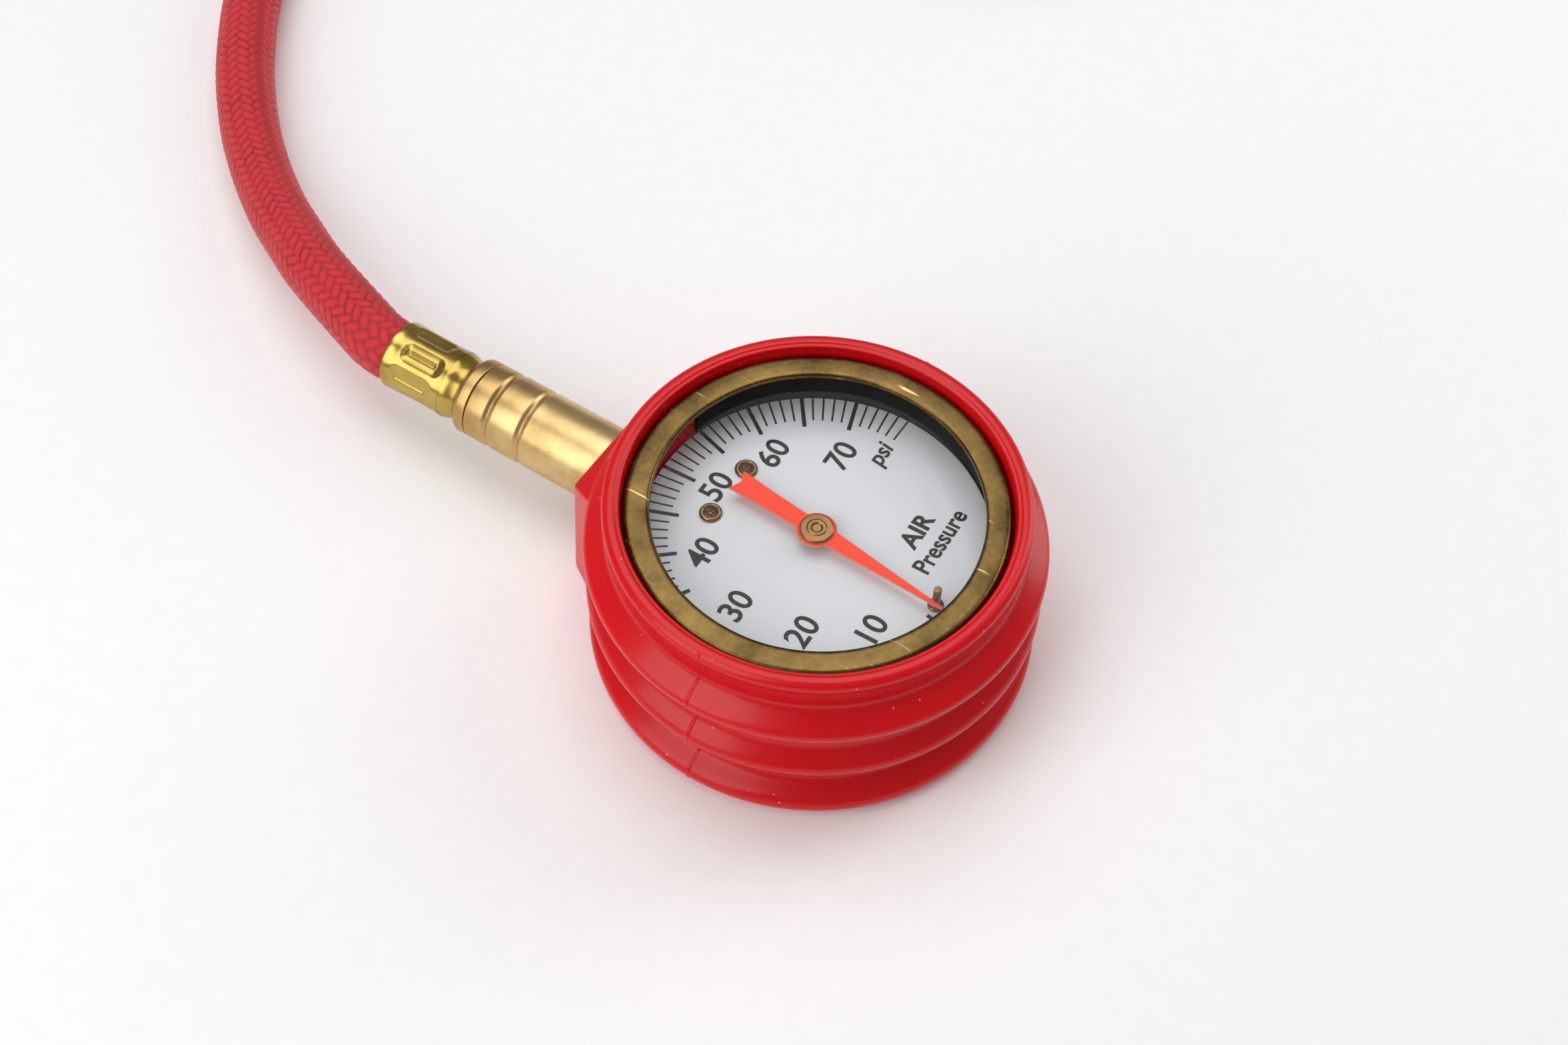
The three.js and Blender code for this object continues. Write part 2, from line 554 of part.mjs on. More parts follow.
const plateEndY = blockY[1] - PLATE_SHORT;
const plateOutline = [
  [-7, plateEndY], [-7, 12.5], [-4, 7], [-6, 2],
  ...PLATE_ROUND_STAFF.map(([x, y]) => [sectorAt[0] + x, sectorAt[1] + y]), [-6.5, -13.2], [-1, -14],
  [8.6, -8], [9.8, -4], [6, 3], [4, 7], [7, 12.5], [7, plateEndY],
].reverse();
const shaftHoles = [[0, 0, ARBOR_R + RUN], [...sectorAt, STAFF_R + RUN]];
const pillarHoles = PILLARS.map(([x, y]) => [x, y, SCREW_R + TOUCH]);
const blockHoles = blockScrews.map(([x, y]) => [x, y, SCREW_R + TOUCH]);

function screw(underHead) {
  const shank = [[0, underHead - SCREW_LENGTH + 0.4], [SCREW_R, underHead - SCREW_LENGTH + 0.4]];
  const body = solid(turned([...shank, [SCREW_R, underHead], [SCREW_HEAD_R, underHead],
    [SCREW_HEAD_R, underHead + SCREW_HEAD * 0.6], [SCREW_HEAD_R * 0.7, underHead + SCREW_HEAD],
    [0, underHead + SCREW_HEAD]], TINY_ROUND));
  return body.subtract(solid(block(-SCREW_HEAD_R, SCREW_HEAD_R, -SCREW_SLOT / 2, SCREW_SLOT / 2,
    underHead + SCREW_HEAD - 0.4, underHead + SCREW_HEAD + 1)));
}

function pillar(x, y) {
  const low = backPlateTop + TOUCH;
  const high = frontPlateZ - TOUCH;
  const bored = high - SCREW_LENGTH;
  const bore = SCREW_R + TOUCH;
  return turned([[0, low], [PILLAR_R, low], [PILLAR_R, high], [bore, high], [bore, bored], [0, bored]],
    TINY_ROUND).translate(x, y, 0);
}

// Flat spiral strip round the arbor.
function hairspring() {
  const steps = SPRING_TURNS * 12;
  const edge = (offset) => Array.from({ length: steps + 1 }, (_, i) => {
    const share = i / steps;
    return polar(SPRING_R[0] + (SPRING_R[1] - SPRING_R[0]) * share + offset, 360 * SPRING_TURNS * share);
  });
  return plate([...edge(SPRING_T), ...edge(0).reverse()].reverse(), SPRING_Z, SPRING_Z + SPRING_W);
}

add("movement_back_plate", plate(plateOutline, BACK_PLATE_Z, backPlateTop, shaftHoles), ...BRASS);
add("movement_front_plate",
  plate(plateOutline, frontPlateZ, plateTop, [...shaftHoles, ...pillarHoles, ...blockHoles]), ...BRASS);
PILLARS.forEach(([x, y], i) => add(`pillar_${i + 1}`, pillar(x, y), ...BRASS));
[...PILLARS, ...blockScrews].forEach(([x, y], i) =>
  add(`plate_screw_${i + 1}`, screw(plateTop + TOUCH).translate(x, y, 0), ...STEEL));
add("pinion_arbor", pinionArbor(), ...STEEL);
add("sector_gear", sectorGear(), ...BRASS);
add("sector_staff",
  disc(STAFF_R, BACK_PLATE_Z + 0.1, plateTop - 0.1, TINY_ROUND).translate(...sectorAt, 0), ...STEEL);
add("connecting_link", connectingLink(), ...STEEL);
add("hairspring_collet", ring(ARBOR_R + TOUCH, SPRING_R[0] - TOUCH, SPRING_Z - COLLET_SPARE,
  SPRING_Z + SPRING_W + COLLET_SPARE, TINY_ROUND), ...BRASS);
add("hairspring", hairspring(), "#c8a860", 0.3, 1);

// ---- dial, rivets, stop pin ----
function dialPlate() {
  const holes = [
    [0, 0, ARBOR_R + 1.3], ...DIAL_POSTS.map(([x, y]) => [x, y, RIVET_HEAD_R / 2 + TOUCH]),
    [...polar(stopPinAt, stopPinDeg), STOP_PIN_R + TOUCH],
  ];
  return plate(arcPoints(dialR, 0, 360 - 360 / LARGE_ROUND, LARGE_ROUND - 1), dialZ - DIAL_T, dialZ, holes);
}

function dialPost([x, y]) {
  const low = plateTop + TOUCH;
  const high = dialZ - DIAL_T - TOUCH;
  return ring(RIVET_HEAD_R / 2 + TOUCH, RIVET_HEAD_R + 0.4, low, high, TINY_ROUND).translate(x, y, 0);
}

function dialRivet([x, y]) {
  const seat = dialZ + 0.05;
  const shank = RIVET_HEAD_R / 2;
  return turned([
    [0, dialZ - DIAL_T - 2], [shank, dialZ - DIAL_T - 2], [shank, seat], [RIVET_HEAD_R, seat],
    [RIVET_HEAD_R, seat + 0.25], [RIVET_HEAD_R - 0.4, seat + 0.5], [shank + 0.3, seat + 0.5],
    [0.4, seat - 0.1], [0, seat - 0.1],
  ], SMALL_ROUND).translate(x, y, 0);
}

function stopPin() {
  const seat = dialZ + 0.05;
  return turned([
    [0, dialZ - DIAL_T - 0.6], [STOP_PIN_R, dialZ - DIAL_T - 0.6], [STOP_PIN_R, seat],
    [STOP_PIN_R * 2.1, seat], [STOP_PIN_R * 2, seat + 0.3], [STOP_PIN_R, seat + 0.55],
    [STOP_PIN_R, stopPinTop], [0, stopPinTop],
  ], TINY_ROUND).translate(...polar(stopPinAt, stopPinDeg), 0);
}

add("dial", dialPlate(), "#d5d8db", 0.45, 0);
DIAL_POSTS.forEach((at, i) => add(`dial_post_${i + 1}`, dialPost(at), ...BRASS));
DIAL_POSTS.forEach((at, i) => add(`dial_rivet_${i + 1}`, dialRivet(at), ...BRASS));
add("stop_pin", stopPin(), ...BRASS);

// ---- pointer and hub ----
function pointer() {
  const bossEdge = Math.sqrt(POINTER_BOSS_R ** 2 - POINTER_ROOT_HALF ** 2);
  const bossDeg = Math.asin(POINTER_ROOT_HALF / POINTER_BOSS_R) / DEG;
  const outline = [
    [pointerTip, -POINTER_TIP_HALF], [pointerTip, POINTER_TIP_HALF], [bossEdge, POINTER_ROOT_HALF],
    ...arcPoints(POINTER_BOSS_R, bossDeg + 8, 180 - bossDeg - 8, 8), [-bossEdge, POINTER_ROOT_HALF + 0.1],
    [-POINTER_TAIL, POINTER_TAIL_HALF], [-POINTER_TAIL + 0.8, 0], [-POINTER_TAIL, -POINTER_TAIL_HALF],
    [-bossEdge, -POINTER_ROOT_HALF - 0.1],
    ...arcPoints(POINTER_BOSS_R, 180 + bossDeg + 8, 360 - bossDeg - 8, 8), [bossEdge, -POINTER_ROOT_HALF],
  ];
  const holes = [[0, 0, HUB_NECK_R + TOUCH]];
  return plate(outline, pointerZ, pointerZ + POINTER_T, holes).rotateZ(POINTER_DEG * DEG);
}

function pointerHub() {
  const bore = ARBOR_R + TOUCH;
  const low = dialZ + HUB_LIFT;
  const under = pointerZ - TOUCH;
  const over = pointerZ + POINTER_T + TOUCH;
  return turned([
    [bore, low], [HUB_COLLAR_R, low], [HUB_COLLAR_R, under], [HUB_NECK_R, under], [HUB_NECK_R, over],
    [HUB_R, over], [HUB_R, hubTop - 0.1], [HUB_R - 0.1, hubTop], [bore, hubTop],
  ], SMALL_ROUND);
}

add("pointer", pointer(), "#ff4f2d", 0.5, 0);
add("pointer_hub", pointerHub(), ...BRASS);

// ---- chuck on the hose's far end ----
// Its own frame has +Y along the hose and the origin at the hose's end.
const chuck = new THREE.Group();
const hoseEnd = HOSE_ROUTE[HOSE_ROUTE.length - 1];
chuck.position.set(hoseEnd[0], hoseEnd[1] + hoseStart - SEAT, hoseEnd[2]);
chuck.rotation.z = Math.PI;
assembly.add(chuck);

const farCollarStart = FERRULE + SEAT;
const farCollarEnd = farCollarStart + COLLAR;

function mouthward(geometry) {
  return geometry.rotateZ(-Math.PI / 2).translate(0, CHUCK_ELBOW, 0);
}

function chuckBody() {
  const start = CHUCK_BARREL_START;
  const cavity = [start + SWIVEL_WALL, start + SWIVEL_WALL + SWIVEL_FLANGE + 2 * SEAT];
  const mouth = CHUCK_HEAD - CAP - SEAT;
  const barrel = turnedY([[0, start], [CHUCK_BARREL_R - 0.5, start], [CHUCK_BARREL_R, start + 0.5],
    [CHUCK_BARREL_R, CHUCK_ELBOW], [0, CHUCK_ELBOW]]);
  const head = mouthward(turnedY([[0, -CHUCK_R + 0.8], [CHUCK_R - 1.2, -CHUCK_R + 0.8],
    [CHUCK_R, -CHUCK_R + 2], [CHUCK_R, mouth], [0, mouth]]));
  const neckHole = turnedY([[0, start - 1], [SWIVEL_R + RUN, start - 1], [SWIVEL_R + RUN, cavity[0]],
    [SWIVEL_FLANGE_R + SEAT, cavity[0]], [SWIVEL_FLANGE_R + SEAT, cavity[1]], [STEM_BORE_R, cavity[1]],
    [STEM_BORE_R, CHUCK_ELBOW], [0, CHUCK_ELBOW]]);
  const socketFloor = mouth - SOCKET_DEPTH;
  const socket = mouthward(turnedY([[0, -1], [DEPRESSOR_R + SEAT, -1], [DEPRESSOR_R + SEAT, socketFloor],
    [SOCKET_R + 1, socketFloor], [SOCKET_R + 1, mouth + 1], [0, mouth + 1]]));
  return solid(barrel).add(solid(head)).subtract(solid(neckHole)).subtract(solid(socket));
}

const farFitting = turnedY([
  [STEM_BORE_R, TAIL_SHORT], [TAIL_R, TAIL_SHORT], [TAIL_R, farCollarStart], [STEM_R - 0.6, farCollarStart],
  [STEM_R, farCollarStart + COLLAR_CHAMFER], [STEM_R, farCollarEnd], [SWIVEL_R, farCollarEnd],
  [SWIVEL_R, CHUCK_BARREL_START + SWIVEL_WALL + SEAT],
  [SWIVEL_FLANGE_R, CHUCK_BARREL_START + SWIVEL_WALL + SEAT],
  [SWIVEL_FLANGE_R, CHUCK_BARREL_START + SWIVEL_WALL + SEAT + SWIVEL_FLANGE],
  [STEM_BORE_R, CHUCK_BARREL_START + SWIVEL_WALL + SEAT + SWIVEL_FLANGE],
]);
const farFerrule = turnedY(ferruleProfile(0)).rotateX(Math.PI).translate(0, FERRULE, 0);
const capStart = CHUCK_HEAD - CAP;
const sealStart = capStart - SEAT - SEAL;
const chuckCap = mouthward(turnedY([[SOCKET_R, capStart], [CAP_R, capStart], [CAP_R, CHUCK_HEAD - 0.6],
  [CAP_R - 0.6, CHUCK_HEAD], [SOCKET_R, CHUCK_HEAD]]));
const chuckSeal = mouthward(turnedY([[SOCKET_R - 1.1, sealStart], [SOCKET_R + 1 - SEAT, sealStart],
  [SOCKET_R + 1 - SEAT, sealStart + SEAL], [SOCKET_R - 1.1, sealStart + SEAL]]));
const depressorSeat = CHUCK_HEAD - CAP - SEAT - SOCKET_DEPTH + TOUCH;
const depressor = mouthward(turnedY([[0, depressorSeat - 3], [DEPRESSOR_R, depressorSeat - 3],
  [DEPRESSOR_R, depressorSeat], [SOCKET_R - 1.4, depressorSeat], [SOCKET_R - 1.4, depressorSeat + 0.8],
  [DEPRESSOR_R, depressorSeat + 1.2], [DEPRESSOR_R, depressorSeat + 4.4], [0, depressorSeat + 4.7]]));

add("chuck_ferrule", farFerrule, ...GILT, chuck);
add("swivel_fitting", farFitting, ...BRASS, chuck);
add("chuck_body", chuckBody(), ...BRASS, chuck);
add("chuck_cap", chuckCap, ...BRASS, chuck);
add("chuck_seal", chuckSeal, ...BLACK, chuck);
add("valve_depressor", depressor, ...BRASS, chuck);

export default assembly;
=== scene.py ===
"""Looks of a hand tyre pressure gauge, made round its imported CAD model. Sizes are in millimetres until
a mesh is made; the frame has its origin at the centre of the guard's flat back, +Z out of the dial
and +Y along the stem."""
import math

import bpy
import numpy as np
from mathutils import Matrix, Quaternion, Vector


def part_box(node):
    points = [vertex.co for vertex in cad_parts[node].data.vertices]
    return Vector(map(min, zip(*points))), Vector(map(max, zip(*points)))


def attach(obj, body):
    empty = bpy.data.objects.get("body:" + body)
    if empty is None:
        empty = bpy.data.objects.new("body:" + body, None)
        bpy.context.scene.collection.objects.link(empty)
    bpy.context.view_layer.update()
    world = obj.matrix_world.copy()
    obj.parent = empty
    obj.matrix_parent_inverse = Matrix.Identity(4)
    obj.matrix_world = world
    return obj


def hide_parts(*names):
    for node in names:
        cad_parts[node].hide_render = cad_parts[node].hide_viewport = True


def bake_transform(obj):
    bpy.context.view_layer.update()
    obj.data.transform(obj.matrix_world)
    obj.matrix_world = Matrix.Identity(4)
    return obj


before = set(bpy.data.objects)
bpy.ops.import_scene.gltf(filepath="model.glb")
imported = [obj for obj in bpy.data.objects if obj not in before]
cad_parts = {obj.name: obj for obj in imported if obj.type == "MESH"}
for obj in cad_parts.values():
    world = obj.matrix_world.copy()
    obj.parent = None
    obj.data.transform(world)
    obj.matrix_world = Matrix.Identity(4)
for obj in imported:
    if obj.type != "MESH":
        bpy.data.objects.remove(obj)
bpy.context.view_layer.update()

MM = 0.001
SHARP = math.radians(32)  # edges bent more than this stay crisp
FIT = 0.05  # visible gap between pieces that touch


def span(node):
    """Lowest and highest corner of a CAD node, in millimetres."""
    low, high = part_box(node)
    return np.array(low) / MM, np.array(high) / MM


def upright_at(node):
    """x and y of the axis of a node that stands upright."""
    low, high = span(node)
    return (low[:2] + high[:2]) / 2


# ---- sizes, read from the frame ----
guard_high = span("rubber_guard")[1]
bezel_low, bezel_high = span("bezel")
case_low, case_high = span("case_cup")
dial_low, dial_high = span("dial")
stem_low, stem_high = span("stem_body")
ferrule_low, ferrule_high = span("stem_ferrule")
hub_low, hub_high = span("pointer_hub")
pointer_low, pointer_high = span("pointer")
pin_low, pin_high = span("stop_pin")
cap_low, cap_high = span("chuck_cap")
chuck_low, chuck_high = span("chuck_body")
swivel_low, swivel_high = span("swivel_fitting")
far_ferrule_low = span("chuck_ferrule")[0]

RIB_R = guard_high[0] - 0.1
LIP_TOP = guard_high[2]
BOSS_END = guard_high[1]
BEZEL_R = bezel_high[0]
BEZEL_TOP = bezel_high[2]
CASE_R = case_high[0]
BEZEL_OPENING_R = CASE_R - 2.35
CASE_WALL = 0.5
DIAL_Z = dial_high[2]
DIAL_R = dial_high[0]
STEM_R = stem_high[0]
STEM_Z = (stem_low[2] + stem_high[2]) / 2
FERRULE_R = ferrule_high[0]
FERRULE = ferrule_high[1] - ferrule_low[1]
HOSE_R = 4.85
HOSE_START = ferrule_high[1] + 0.3
CHUCK_X = (swivel_low[0] + swivel_high[0]) / 2
CHUCK_Z = (swivel_low[2] + swivel_high[2]) / 2

STEM_AXIS = ((0, 0, STEM_Z), (0, 1, 0))

# ---- camera ----
CAMERA_AT = (-142.46, -79.33, 257.05)
CAMERA_AIM = (12.06, 12.30, 0.0)
CAMERA_ROLL = 2.37  # degrees
CAMERA_LENS = 48.96  # on a 36 mm sensor


def make_camera():
    data = bpy.data.cameras.new("camera")
    data.lens = CAMERA_LENS
    data.sensor_width = 36
    data.clip_start = 0.01
    camera = bpy.data.objects.new("camera", data)
    bpy.context.scene.collection.objects.link(camera)
    line = Vector(CAMERA_AIM) - Vector(CAMERA_AT)
    camera.location = Vector(CAMERA_AT) * MM
    camera.rotation_mode = "QUATERNION"
    roll = Quaternion((0, 0, 1), math.radians(CAMERA_ROLL))
    camera.rotation_quaternion = line.to_track_quat("-Z", "Y") @ roll
    bpy.context.scene.camera = camera


make_camera()


# ---- mesh making ----
def mesh_piece(name, points, quads, triangles=()):
    """An object from points in millimetres. If the volume under its faces, the sum of
    p0 . (p1 x p2) / 6 over their triangles, is below zero, the faces are turned round."""
    points = np.asarray(points, float)
    quads = np.asarray(quads, int).reshape(-1, 4)
    triangles = np.asarray(triangles, int).reshape(-1, 3)
    thirds = points[np.vstack([quads[:, [0, 1, 2]], quads[:, [0, 2, 3]], triangles])]
    if np.sum(thirds[:, 0] * np.cross(thirds[:, 1], thirds[:, 2])) < 0:
        quads = quads[:, ::-1]
        triangles = triangles[:, ::-1]
    corners = np.concatenate([quads.ravel(), triangles.ravel()]).astype(np.int32)
    sizes = np.concatenate([np.full(len(quads), 4), np.full(len(triangles), 3)])
    mesh = bpy.data.meshes.new(name)
    mesh.vertices.add(len(points))
    mesh.vertices.foreach_set("co", (points * MM).astype(np.float32).ravel())
    mesh.loops.add(len(corners))
    mesh.loops.foreach_set("vertex_index", corners)
    mesh.polygons.add(len(sizes))
    mesh.polygons.foreach_set("loop_start", (np.cumsum(sizes) - sizes).astype(np.int32))
    mesh.update(calc_edges=True)
    piece = bpy.data.objects.new(name, mesh)
    bpy.context.scene.collection.objects.link(piece)
    return piece


def wrap_quads(rows, columns, rows_close=False):
    """Quads of a grid whose columns close on themselves, and its rows too where rows_close is set."""
    row = np.arange(rows if rows_close else rows - 1)[:, None]
    column = np.arange(columns)[None, :]
    next_row = (row + 1) % rows
    next_column = (column + 1) % columns
    corners = [row * columns + column, row * columns + next_column,
               next_row * columns + next_column, next_row * columns + column]
    return np.stack(corners, axis=-1).reshape(-1, 4)


def closed_surface(name, grid, poles=None):
    """A grid of points (rows, columns, 3) that closes round its columns. Two poles close its ends
    with fans; without them its last row joins its first."""
    rows, columns = grid.shape[:2]
    quads = wrap_quads(rows, columns, rows_close=poles is None)
    points = grid.reshape(-1, 3)
    fans = []
    if poles is not None:
        first = np.arange(columns)
        last = first + (rows - 1) * columns
        start = np.full(columns, len(points))
        fans = np.vstack([np.column_stack([start, np.roll(first, -1), first]),
                          np.column_stack([start + 1, last, np.roll(last, -1)])])
        points = np.vstack([points, poles])
    return mesh_piece(name, points, quads, fans)


def rounded(corners, steps=5):
    """Outline from corners (a, b, size). Each corner is replaced by the parabola
    (1-t)^2 A + 2t(1-t) C + t^2 B from A, its size before the corner C, to B, its size after it."""
    corners = np.array(corners, float)
    spots = corners[:, :2]
    size = corners[:, 2:]
    back = np.roll(spots, 1, 0) - spots
    ahead = np.roll(spots, -1, 0) - spots
    far_back = np.linalg.norm(back, axis=1, keepdims=True)
    far_ahead = np.linalg.norm(ahead, axis=1, keepdims=True)
    start = (spots + back / far_back * np.minimum(size, 0.45 * far_back))[:, None]
    stop = (spots + ahead / far_ahead * np.minimum(size, 0.45 * far_ahead))[:, None]
    t = np.linspace(0, 1, steps)[None, :, None]
    curves = (1 - t) ** 2 * start + 2 * t * (1 - t) * spots[:, None] + t ** 2 * stop
    outline = curves.reshape(-1, 2)
    moved = np.linalg.norm(np.diff(outline, axis=0, prepend=outline[:1] - 1), axis=1)
    return outline[moved > 1e-4]


def placed(points, origin, axis):
    """Points made along +Z, turned and moved so that their Z axis runs along axis from origin."""
    turn = np.array(Vector((0, 0, 1)).rotation_difference(Vector(axis)).to_matrix())
    return points @ turn.T + np.array(origin, float)


def turned(name, outline, origin=(0, 0, 0), axis=(0, 0, 1), sides=128, reshape=None):
    """Surface of revolution: each outline point (r, h) goes round as (r cos t, r sin t, h). An outline
    that starts and ends on the axis gets poles there. reshape(r, h, t) gives a new r for each point."""
    outline = np.asarray(outline, float)
    off_axis = outline[:, 0] > 1e-6
    ring = outline[off_axis]
    t = np.linspace(0, 2 * np.pi, sides, endpoint=False)[None, :]
    r = ring[:, :1] + 0 * t
    h = ring[:, 1:] + 0 * t
    if reshape:
        r = reshape(r, h, t)
    grid = placed(np.stack([r * np.cos(t), r * np.sin(t), h], axis=-1), origin, axis)
    if off_axis.all():
        return closed_surface(name, grid)
    ends = np.array([[0, 0, outline[0, 1]], [0, 0, outline[-1, 1]]])
    return closed_surface(name, grid, placed(ends, origin, axis))


def prism(name, outline, low, high, order=(0, 1, 2), shift=(0, 0, 0)):
    """A straight piece over an outline [a, b] that every ray from its middle crosses once, between two
    heights c. order says which of a, b and c goes to x, y and z."""
    outline = np.asarray(outline, float)
    middle = outline.mean(0)
    grid = np.stack([np.column_stack([outline, np.full(len(outline), c)]) for c in (low, high)])
    poles = np.array([[*middle, low], [*middle, high]])
    return closed_surface(name, grid[..., order] + shift, poles[:, order] + shift)


def cut(piece, tool, operation="DIFFERENCE"):
    """Takes the tool's solid from the piece, or adds it, and removes the tool."""
    modifier = piece.modifiers.new(operation, "BOOLEAN")
    modifier.object = tool
    modifier.operation = operation
    modifier.solver = "EXACT"
    evaluated = piece.evaluated_get(bpy.context.evaluated_depsgraph_get())
    mesh = bpy.data.meshes.new_from_object(evaluated)
    piece.modifiers.clear()
    piece.data = mesh
    bpy.data.objects.remove(tool)


def finished(piece, body, material, slot, *stands_for):
    piece.data.materials.clear()
    piece.data.materials.append(material)
    piece.data.shade_smooth()
    piece.data.set_sharp_from_angle(angle=SHARP)
    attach(piece, body)
    if stands_for:
        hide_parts(*stands_for)
    return piece


# ---- material making ----
def colour(code, alpha=1.0):
    """Linear colour of an sRGB hex value: ((c + 0.055) / 1.055)^2.4, or c / 12.92 where it is dark."""
    parts = [int(code[i:i + 2], 16) / 255 for i in (1, 3, 5)]
    return (*[((c + 0.055) / 1.055) ** 2.4 if c > 0.04045 else c / 12.92 for c in parts], alpha)


def add_node(tree, kind, settings=None, links=None):
    """Adds a shader node. settings are its properties and sockets by name or number; links feed it."""
    made = tree.nodes.new("ShaderNode" + kind)
    for key, value in (settings or {}).items():
        if isinstance(key, str) and key in made.bl_rna.properties:
            setattr(made, key, value)
        else:
            made.inputs[key].default_value = value
    for key, source in (links or {}).items():
        tree.links.new(source, made.inputs[key])
    return made


def new_surface(name, **sockets):
    """A material with its node tree, its Principled shader and its object coordinates."""
    material = bpy.data.materials.new(name)
    material.use_nodes = True
    tree = material.node_tree
    tree.nodes.clear()
    shader = add_node(tree, "BsdfPrincipled", {k.replace("_", " "): v for k, v in sockets.items()})
    add_node(tree, "OutputMaterial", links={"Surface": shader.outputs["BSDF"]})
    place = add_node(tree, "TexCoord").outputs["Object"]
    return material, tree, shader, place


def mottled(tree, shader, place, dark, light, size, detail=2.0):
    """Base colour that wanders between two tones in patches, size mm across. Returns the patches."""
    patches = add_node(tree, "TexNoise", {"Scale": 1 / (size * MM), "Detail": detail}, {"Vector": place})
    tone = add_node(tree, "Mix", {"data_type": "RGBA", 6: colour(dark), 7: colour(light)},
                    {0: patches.outputs["Fac"]})
    tree.links.new(tone.outputs[2], shader.inputs["Base Color"])
    return patches.outputs["Fac"]


def moulded_pvc():
    """Soft PVC, injection moulded: a semi-gloss skin whose shine is duller in patches where it is
    scuffed, a little light inside the wall, and pale specks of dust that it holds."""
    material, tree, shader, place = new_surface(
        "moulded_soft_pvc", Subsurface_Weight=0.04, Subsurface_Scale=0.0015, Coat_Weight=0.08,
        Coat_Roughness=0.1, Specular_IOR_Level=0.35, IOR=1.45)
    shader.inputs["Subsurface Radius"].default_value = (1.0, 0.15, 0.12)
    cloud = add_node(tree, "TexNoise", {"Scale": 55.0, "Detail": 3.0}, {"Vector": place})  # 18 mm patches
    tint = add_node(tree, "Mix", {"data_type": "RGBA", 6: colour("#C8050F"), 7: colour("#D80B16")},
                    {0: cloud.outputs["Fac"]})
    dust = add_node(tree, "TexVoronoi", {"Scale": 330.0, "Randomness": 1.0}, {"Vector": place})  # 3 mm apart
    near = add_node(tree, "MapRange", {"From Min": 0.05, "From Max": 0.02},
                    {"Value": dust.outputs["Distance"]})
    flecks = add_node(tree, "Mix", {"data_type": "RGBA", 7: colour("#F7A9A6")},
                      {0: near.outputs["Result"], 6: tint.outputs[2]})
    tree.links.new(flecks.outputs[2], shader.inputs["Base Color"])
    scuff = add_node(tree, "TexNoise", {"Scale": 240.0, "Detail": 6.0, "Roughness": 0.65},
                     {"Vector": place})  # 4 mm
    shine = add_node(tree, "MapRange", {"To Min": 0.2, "To Max": 0.36}, {"Value": scuff.outputs["Fac"]})
    tree.links.new(shine.outputs["Result"], shader.inputs["Roughness"])
    ripple = add_node(tree, "TexNoise", {"Scale": 120.0, "Detail": 2.0}, {"Vector": place})  # 8 mm
    bump = add_node(tree, "Bump", {"Strength": 0.12, "Distance": 0.0004}, {"Height": ripple.outputs["Fac"]})
    tree.links.new(bump.outputs["Normal"], shader.inputs["Normal"])
    return material


def worn_metal(name, dark, light, low_shine, high_shine, stretch, grain):
    """Turned and handled metal: two tones of oxide in soft patches, tool marks that are noise
    stretched along the cut, and small dark pits. stretch scales the marks along x, y and z, and grain is
    how many there are to the metre where stretch is 1."""
    material, tree, shader, place = new_surface(name, Metallic=1.0)
    patches = add_node(tree, "TexNoise", {"Scale": 95.0, "Detail": 5.0, "Roughness": 0.6},
                       {"Vector": place})  # 10 mm
    spread = add_node(tree, "MapRange", {"From Min": 0.35, "From Max": 0.65},
                      {"Value": patches.outputs["Fac"]})
    tone = add_node(tree, "Mix", {"data_type": "RGBA", 6: colour(dark), 7: colour(light)},
                    {0: spread.outputs["Result"]})
    pits = add_node(tree, "TexVoronoi", {"Scale": 420.0}, {"Vector": place})  # 2.4 mm apart
    pit = add_node(tree, "MapRange", {"From Min": 0.045, "From Max": 0.02},
                   {"Value": pits.outputs["Distance"]})
    pitted = add_node(tree, "Mix", {"data_type": "RGBA", 7: colour("#4A3212")},
                      {0: pit.outputs["Result"], 6: tone.outputs[2]})
    tree.links.new(pitted.outputs[2], shader.inputs["Base Color"])
    along = add_node(tree, "Mapping", {"Scale": stretch}, {"Vector": place})
    marks = add_node(tree, "TexNoise", {"Scale": grain, "Detail": 3.0}, {"Vector": along.outputs["Vector"]})
    shine = add_node(tree, "MapRange", {"To Min": low_shine, "To Max": high_shine},
                     {"Value": marks.outputs["Fac"]})
    tree.links.new(shine.outputs["Result"], shader.inputs["Roughness"])
    bump = add_node(tree, "Bump", {"Strength": 0.15, "Distance": 0.0001}, {"Height": marks.outputs["Fac"]})
    tree.links.new(bump.outputs["Normal"], shader.inputs["Normal"])
    return material


